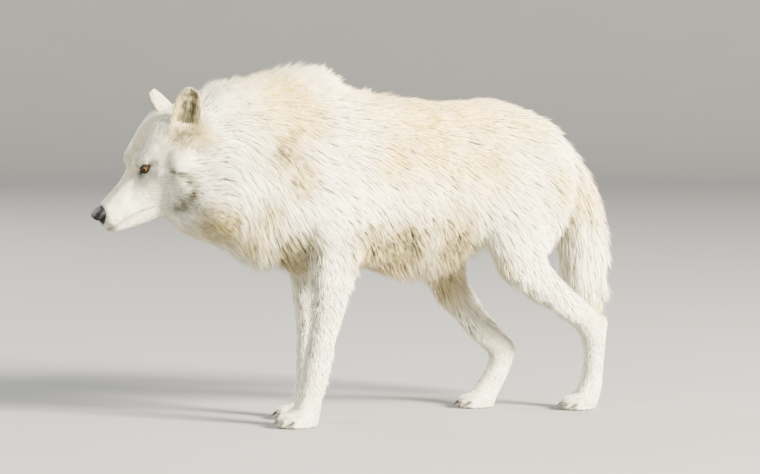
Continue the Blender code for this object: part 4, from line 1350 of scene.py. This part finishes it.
def nose_piece():
    """The nose leather: a broad, flat-fronted egg with two comma-shaped nostrils and a groove between."""
    bm = bmesh.new()
    bmesh.ops.create_uvsphere(bm, u_segments=96, v_segments=64, radius=1,
                              matrix=Matrix.Rotation(math.pi / 2, 4, "Y"))
    made = smooth_object("nose_leather", bm)
    rows = vertex_places(made.data)
    rows = np.sign(rows) * np.abs(rows) ** 0.80
    rows *= np.array(NOSE_RADII)
    rows[:, 1] *= 1 + 0.20 * np.clip(rows[:, 2] / NOSE_RADII.z, -1, 1)
    front = smooth_step(-rows[:, 0], 0.000, 0.010)
    rows[:, 2] -= 0.0015 * front
    rows[:, 0] += 0.0070 * front * smooth_step(-rows[:, 2], -0.002, 0.012)
    groove_width, groove_depth = NOSE_GROOVE
    rows[:, 0] += groove_depth * (bell(rows[:, 1], groove_width) * front * (rows[:, 2] < 0.005))
    z = rows[:, 2]
    for side in SIDES.values():
        y = side * rows[:, 1]
        hole_y, hole_z, width, inwards = NOSTRIL
        rows[:, 0] += inwards * bell(np.hypot((y - hole_y) / 1.10, z - hole_z), width) * front
        slit_y, slit_z, width, inwards = NOSTRIL_SLIT
        slit = bell(z - slit_z - 0.25 * (y - slit_y), width) * smooth_step(y, slit_y - 0.0040, slit_y)
        depth = inwards * slit * smooth_step(0.013 - rows[:, 0], 0.0, 0.010)
        rows[:, 1] -= side * depth * (y > 0)
        rows[:, 0] += 0.35 * depth
        for form_y, form_z, width, inwards in NOSE_FORMS.values():
            rows[:, 0] += inwards * bell(np.hypot(y - form_y, z - form_z), width) * front
    put_places(made.data, turned(HEAD @ Matrix.Translation(NOSE_CENTRE), rows))
    return made


def tube(bm, points, radii, sides):
    """A closed tube through points, with a radius at each."""
    rings = []
    last = len(points) - 1
    for i, (point, radius) in enumerate(zip(points, radii)):
        along = (points[min(i + 1, last)] - points[max(i - 1, 0)]).normalized()
        across = along.orthogonal() if i == 0 else across - along * across.dot(along)
        across.normalize()
        other = along.cross(across)
        angles = [2 * math.pi * k / sides for k in range(sides)]
        rings.append([bm.verts.new(point + (across * math.cos(angle) + other * math.sin(angle)) * radius)
                      for angle in angles])
    for near, far in zip(rings, rings[1:]):
        for k in range(sides):
            j = (k + 1) % sides
            bm.faces.new((near[k], near[j], far[j], far[k]))
    bm.faces.new(rings[0][::-1])
    bm.faces.new(rings[-1])


def claws():
    """A hooked claw in the place of each claw node."""
    bm = bmesh.new()
    steps = [i / CLAW_STEPS for i in range(CLAW_STEPS + 1)]
    arch = Vector((0, 0, CLAW_ARCH))
    for claw in CLAWS:
        places = vertex_places(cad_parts[claw].data)
        ahead = places[:, 0]
        tip = Vector(places[ahead < ahead.min() + 0.001].mean(axis=0))
        root = Vector(places[ahead > ahead.max() - 0.002].mean(axis=0))
        points = [root.lerp(tip, t) + arch * math.sin(math.pi * t) for t in steps]
        points = [Vector((p.x, p.y, max(p.z, CLAW_FLOOR))) for p in points]
        tube(bm, points, [CLAW_RADIUS * (1 - t**1.6) + CLAW_TIP for t in steps], 10)
    return smooth_object("claws", bm)


def whiskers(skin, face, rng):
    """Stiff hairs in rows on the lips and above the eyes."""
    tree = BVHTree.FromObject(skin, bpy.context.evaluated_depsgraph_get())
    bm = bmesh.new()
    starts = []
    for (x, z), (step_x, step_z), (columns, rows) in WHISKER_SETS:
        starts += [(x + step_x * column, z + step_z * row)
                   for row in range(rows) for column in range(columns)]
    radii = [WHISKER_RADIUS * (1 - 0.8 * t) for t in WHISKER_BENDS]
    for side in SIDES.values():
        inwards = (HEAD_TURN @ Vector((0, -side, 0))).normalized()
        for x, z in starts:
            outside = HEAD @ Vector((x, side * WHISKER_START, z))
            root = tree.ray_cast(outside, inwards, WHISKER_START + 0.01)[0]
            if root is None:
                continue
            long = face.whisker * rng.uniform(0.6, 1.0)
            way = Vector((0.75 + rng.uniform(-0.1, 0.1), side * 0.75, -0.25 + rng.uniform(-0.15, 0.1)))
            way = (HEAD_TURN @ way).normalized()
            points = [root + way * long * t + Vector((0, 0, -WHISKER_DROOP * long * t * t))
                      for t in WHISKER_BENDS]
            tube(bm, points, radii, 4)
    return smooth_object("whiskers", bm)


# Stage


def make_floor():
    """A pale round floor that rises softly into a low wall far from the wolf."""
    bm = bmesh.new()
    rows = [(FLOOR_FLAT * t / 12, 0.0) for t in range(1, 13)]
    bends = [math.radians(90 * t / 20) for t in range(1, 21)]
    rows += [(FLOOR_FLAT + FLOOR_BEND * math.sin(bend), FLOOR_BEND * (1 - math.cos(bend))) for bend in bends]
    angles = [2 * math.pi * k / FLOOR_SIDES for k in range(FLOOR_SIDES)]
    rings = [[bm.verts.new((r * math.cos(a), r * math.sin(a), z)) for a in angles] for r, z in rows]
    bm.faces.new(rings[0])
    for near, far in zip(rings, rings[1:]):
        for k in range(FLOOR_SIDES):
            j = (k + 1) % FLOOR_SIDES
            bm.faces.new((near[k], far[k], far[j], near[j]))
    floor = smooth_object("floor", bm)
    floor.data.materials.append(plain_material("floor_paint", FLOOR_COLOUR, 0.9))


def make_lights(powers):
    """Soft square lights aimed at the wolf."""
    for name, power in powers.items():
        place, width, colour = LIGHTS[name]
        data = bpy.data.lights.new(name, "AREA")
        data.size = width
        data.energy = power
        data.color = colour
        light = new_object(name, data)
        light.location = place
        light.rotation_euler = (LIGHT_AIM - Vector(place)).to_track_quat("-Z", "Y").to_euler()


def make_air(scene, strength):
    """Even light from all round."""
    world = bpy.data.worlds.new("air")
    world.use_nodes = True
    background = world.node_tree.nodes["Background"]
    background.inputs["Color"].default_value = AIR_COLOUR
    background.inputs["Strength"].default_value = strength
    scene.world = world


def make_camera(scene, stage):
    """The camera, aimed a little behind and above the wolf's shoulder."""
    a, e = stage.azimuth, stage.elevation
    back = Vector((math.sin(a) * math.cos(e), -math.cos(a) * math.cos(e), math.sin(e)))
    right = Vector((math.cos(a), math.sin(a), 0))
    aim = CAMERA_AIM + right * CAMERA_SHIFT[0] + back.cross(right) * CAMERA_SHIFT[1]
    data = bpy.data.cameras.new("camera")
    data.lens = stage.lens
    data.sensor_width = 36.0
    data.clip_end = 100.0
    camera = new_object("camera", data)
    camera.location = aim + back * stage.distance
    camera.rotation_euler = back.to_track_quat("Z", "Y").to_euler()
    scene.camera = camera


# Settings


class WolfSkinSettings(bpy.types.PropertyGroup):
    """How the skin is made from the flesh."""

    voxel: FloatProperty(name="Cell", description="Size of the cells that fuse the flesh",
                         default=0.003, min=0.001, unit="LENGTH")
    overlap: FloatProperty(name="Overlap", description="How far the parts grow into each other",
                           default=0.0005, min=0.0, unit="LENGTH")
    smoothing: IntProperty(name="Smoothing", description="Times that the fused flesh is smoothed",
                           default=8, min=0)
    even_passes: IntProperty(name="Evening", description="Times that the skin under deep coat is smoothed",
                             default=80, min=0)
    triangles: IntProperty(name="Triangles", description="About how many triangles the skin keeps",
                           default=150000, min=1000)


class WolfFaceSettings(bpy.types.PropertyGroup):
    """Sizes and colours of eyes and whiskers."""

    eye_radius: FloatProperty(name="Eyeball", description="Radius of an eyeball", default=0.0115,
                              min=0.001, unit="LENGTH")
    iris: FloatProperty(name="Iris", description="Radius of the iris", default=0.0074, min=0.001,
                        unit="LENGTH")
    pupil: FloatProperty(name="Pupil", description="Radius of the pupil", default=0.0034, min=0.0005,
                         unit="LENGTH")
    whisker: FloatProperty(name="Whisker", description="Length of the longest whisker", default=0.055,
                           min=0.001, unit="LENGTH")
    iris_inner: FloatVectorProperty(name="Inner iris", description="Colour of the iris by the pupil",
                                    subtype="COLOR", size=3, min=0, max=1, default=(0.135, 0.072, 0.012))
    iris_outer: FloatVectorProperty(name="Outer iris", description="Colour of the iris by its rim",
                                    subtype="COLOR", size=3, min=0, max=1, default=(0.040, 0.021, 0.004))


class WolfPalette(bpy.types.PropertyGroup):
    """Colours of skin and coat."""

    white: FloatVectorProperty(name="White", description="Legs, face and tips", subtype="COLOR",
                               size=3, min=0, max=1, default=(0.93, 0.885, 0.70))
    cream: FloatVectorProperty(name="Cream", description="Back and flanks", subtype="COLOR",
                               size=3, min=0, max=1, default=(0.82, 0.58, 0.110))
    # the tan also carries painted shade under the body, behind the elbows, along the cheeks and in the ears'
    # cups
    tan: FloatVectorProperty(name="Tan", description="Throat, loin and inner ears", subtype="COLOR",
                             size=3, min=0, max=1, default=(0.110, 0.097, 0.054))
    # the dark also carries painted shadows along the cheeks and between the hairs in the ears' cups
    dark: FloatVectorProperty(name="Dark", description="Lips, eye rims, nose and pads", subtype="COLOR",
                              size=3, min=0, max=1, default=(0.006, 0.0055, 0.006))


class WolfCoatSettings(bpy.types.PropertyGroup):
    """How the coat grows."""

    share: FloatProperty(name="Share", description="Share of the full number of tufts", default=1.0,
                         min=0.01, max=1.0, subtype="FACTOR")
    stray: FloatProperty(name="Stray", description="How far tufts turn off the lie of the coat",
                         default=0.09, min=0.0, subtype="ANGLE")
    softness: FloatProperty(name="Softness", description="How far the tufts are shaded as one surface",
                            default=0.6, min=0.0, max=1.0)
    relief: FloatProperty(name="Unevenness", description="How far long coat swells and dips",
                          default=0.17, min=0.0, max=1.0)
    gather: FloatProperty(name="Gather", description="How strongly tufts lean together into locks",
                          default=0.38, min=0.0, max=1.0)
    lock_size: IntProperty(name="Tufts in a lock", description="About how many tufts lean together",
                           default=24, min=1)
    seed: IntProperty(name="Seed", description="Seed of the tufts' places and sizes", default=7)


class WolfStageSettings(bpy.types.PropertyGroup):
    """Camera, lights and floor."""

    azimuth: FloatProperty(name="Azimuth", description="Where the camera stands round the wolf",
                           default=math.radians(-30), subtype="ANGLE")
    elevation: FloatProperty(name="Elevation", description="Height of the camera as an angle",
                             default=math.radians(3.5), subtype="ANGLE")
    distance: FloatProperty(name="Distance", description="From the camera to the wolf", default=7.5,
                            min=0.1, unit="LENGTH")
    lens: FloatProperty(name="Lens", description="Focal length on a 36 mm sensor", default=169.6, min=1.0,
                        unit="CAMERA")
    key: FloatProperty(name="Key light", description="Power of the key light", default=11500.0, min=0.0,
                       unit="POWER")
    fill: FloatProperty(name="Fill light", description="Power of the fill light", default=460.0, min=0.0,
                        unit="POWER")
    air: FloatProperty(name="Air", description="Strength of the light from all round", default=0.65,
                       min=0.0)


class WolfSettings(bpy.types.PropertyGroup):
    """All settings of the wolf."""

    skin: PointerProperty(type=WolfSkinSettings)
    face: PointerProperty(type=WolfFaceSettings)
    palette: PointerProperty(type=WolfPalette)
    coat: PointerProperty(type=WolfCoatSettings)
    stage: PointerProperty(type=WolfStageSettings)


# Operators


class WOLF_OT_skin(bpy.types.Operator):
    """Fuse the flesh into one skin with lids, lips, ears and soles"""

    bl_idname = "wolf.skin"
    bl_label = "Skin"

    def execute(self, context):
        wolf = context.scene.wolf
        skin = build_skin(wolf.skin, wolf.face.eye_radius)
        place_piece(skin, "coat", furred_material("skin", wolf.palette, 420.0, 0.0012, 0.0), *REGIONS)
        return {"FINISHED"}


class WOLF_OT_eyes(bpy.types.Operator):
    """Set the two eyeballs behind their lids"""

    bl_idname = "wolf.eyes"
    bl_label = "Eyes"

    def execute(self, context):
        face = context.scene.wolf.face
        for word, side in SIDES.items():
            gaze = (HEAD_TURN @ eye_axes(side)[0]).normalized()
            material = eye_material(f"eye_{word}_wet", HEAD @ eye_place(side), gaze, face)
            place_piece(eyeball(f"eyeball_{word}", side, face), "eye", material, f"eye_{word}")
        return {"FINISHED"}


class WOLF_OT_nose(bpy.types.Operator):
    """Make the nose leather with its nostrils"""

    bl_idname = "wolf.nose"
    bl_label = "Nose"

    def execute(self, context):
        place_piece(nose_piece(), "nose", leather_material(context.scene.wolf.palette), "nose")
        return {"FINISHED"}


class WOLF_OT_claws(bpy.types.Operator):
    """Put a hooked claw on each toe"""

    bl_idname = "wolf.claws"
    bl_label = "Claws"

    def execute(self, context):
        place_piece(claws(), "claw", horn_material(), *CLAWS)
        return {"FINISHED"}


class WOLF_OT_whiskers(bpy.types.Operator):
    """Set the whiskers in the lips and above the eyes"""

    bl_idname = "wolf.whiskers"
    bl_label = "Whiskers"

    def execute(self, context):
        wolf = context.scene.wolf
        rng = np.random.default_rng(wolf.coat.seed + 100)
        made = whiskers(bpy.data.objects["skin"], wolf.face, rng)
        place_piece(made, "coat", plain_material("whisker", WHISKER_COLOUR, 0.45))
        return {"FINISHED"}


class WOLF_OT_coat(bpy.types.Operator):
    """Grow the coat over the skin, region by region"""

    bl_idname = "wolf.coat"
    bl_label = "Coat"

    def execute(self, context):
        wolf = context.scene.wolf
        mesh = bpy.data.objects["skin"].data
        material = furred_material("fur", wolf.palette, 900.0, 0.0001, 0.20)
        for number, (name, (names, halves, thousands)) in enumerate(COAT_PIECES.items()):
            rng = np.random.default_rng(wolf.coat.seed + number)
            roots = scatter(mesh, names, halves, int(1000 * thousands * wolf.coat.share), rng)
            place_piece(grow_tufts(name, roots, wolf.coat, rng), "coat", material)
        for name in ("region", "coat", "lie"):
            mesh.attributes.remove(mesh.attributes[name])
        return {"FINISHED"}


class WOLF_OT_stage(bpy.types.Operator):
    """Set up the pale floor, the soft lights and the camera"""

    bl_idname = "wolf.stage"
    bl_label = "Stage"

    def execute(self, context):
        stage = context.scene.wolf.stage
        make_floor()
        make_lights({"key_light": stage.key, "fill_light": stage.fill, "back_light": 3 * stage.fill})
        make_air(context.scene, stage.air)
        make_camera(context.scene, stage)
        return {"FINISHED"}


class WOLF_PT_panel(bpy.types.Panel):
    """Steps and settings of the wolf"""

    bl_idname = "WOLF_PT_panel"
    bl_label = "Arctic wolf"
    bl_space_type = "VIEW_3D"
    bl_region_type = "UI"
    bl_category = "Wolf"

    def draw(self, context):
        layout = self.layout
        wolf = context.scene.wolf
        for word in ("skin", "face", "palette", "coat", "stage"):
            box = layout.box()
            group = getattr(wolf, word)
            for key in group.__annotations__:
                box.prop(group, key)
        for step in STEPS:
            layout.operator(step.bl_idname)


STEPS = (WOLF_OT_skin, WOLF_OT_eyes, WOLF_OT_nose, WOLF_OT_claws, WOLF_OT_whiskers, WOLF_OT_coat,
         WOLF_OT_stage)
CLASSES = (WolfSkinSettings, WolfFaceSettings, WolfPalette, WolfCoatSettings, WolfStageSettings,
           WolfSettings, *STEPS, WOLF_PT_panel)


def register():
    for made in CLASSES:
        bpy.utils.register_class(made)
    bpy.types.Scene.wolf = PointerProperty(type=WolfSettings)


def unregister():
    del bpy.types.Scene.wolf
    for made in reversed(CLASSES):
        bpy.utils.unregister_class(made)


def main():
    register()
    bpy.ops.wolf.skin()
    bpy.ops.wolf.eyes()
    bpy.ops.wolf.nose()
    bpy.ops.wolf.claws()
    bpy.ops.wolf.whiskers()
    bpy.ops.wolf.coat()
    bpy.ops.wolf.stage()


if __name__ == "__main__":
    main()
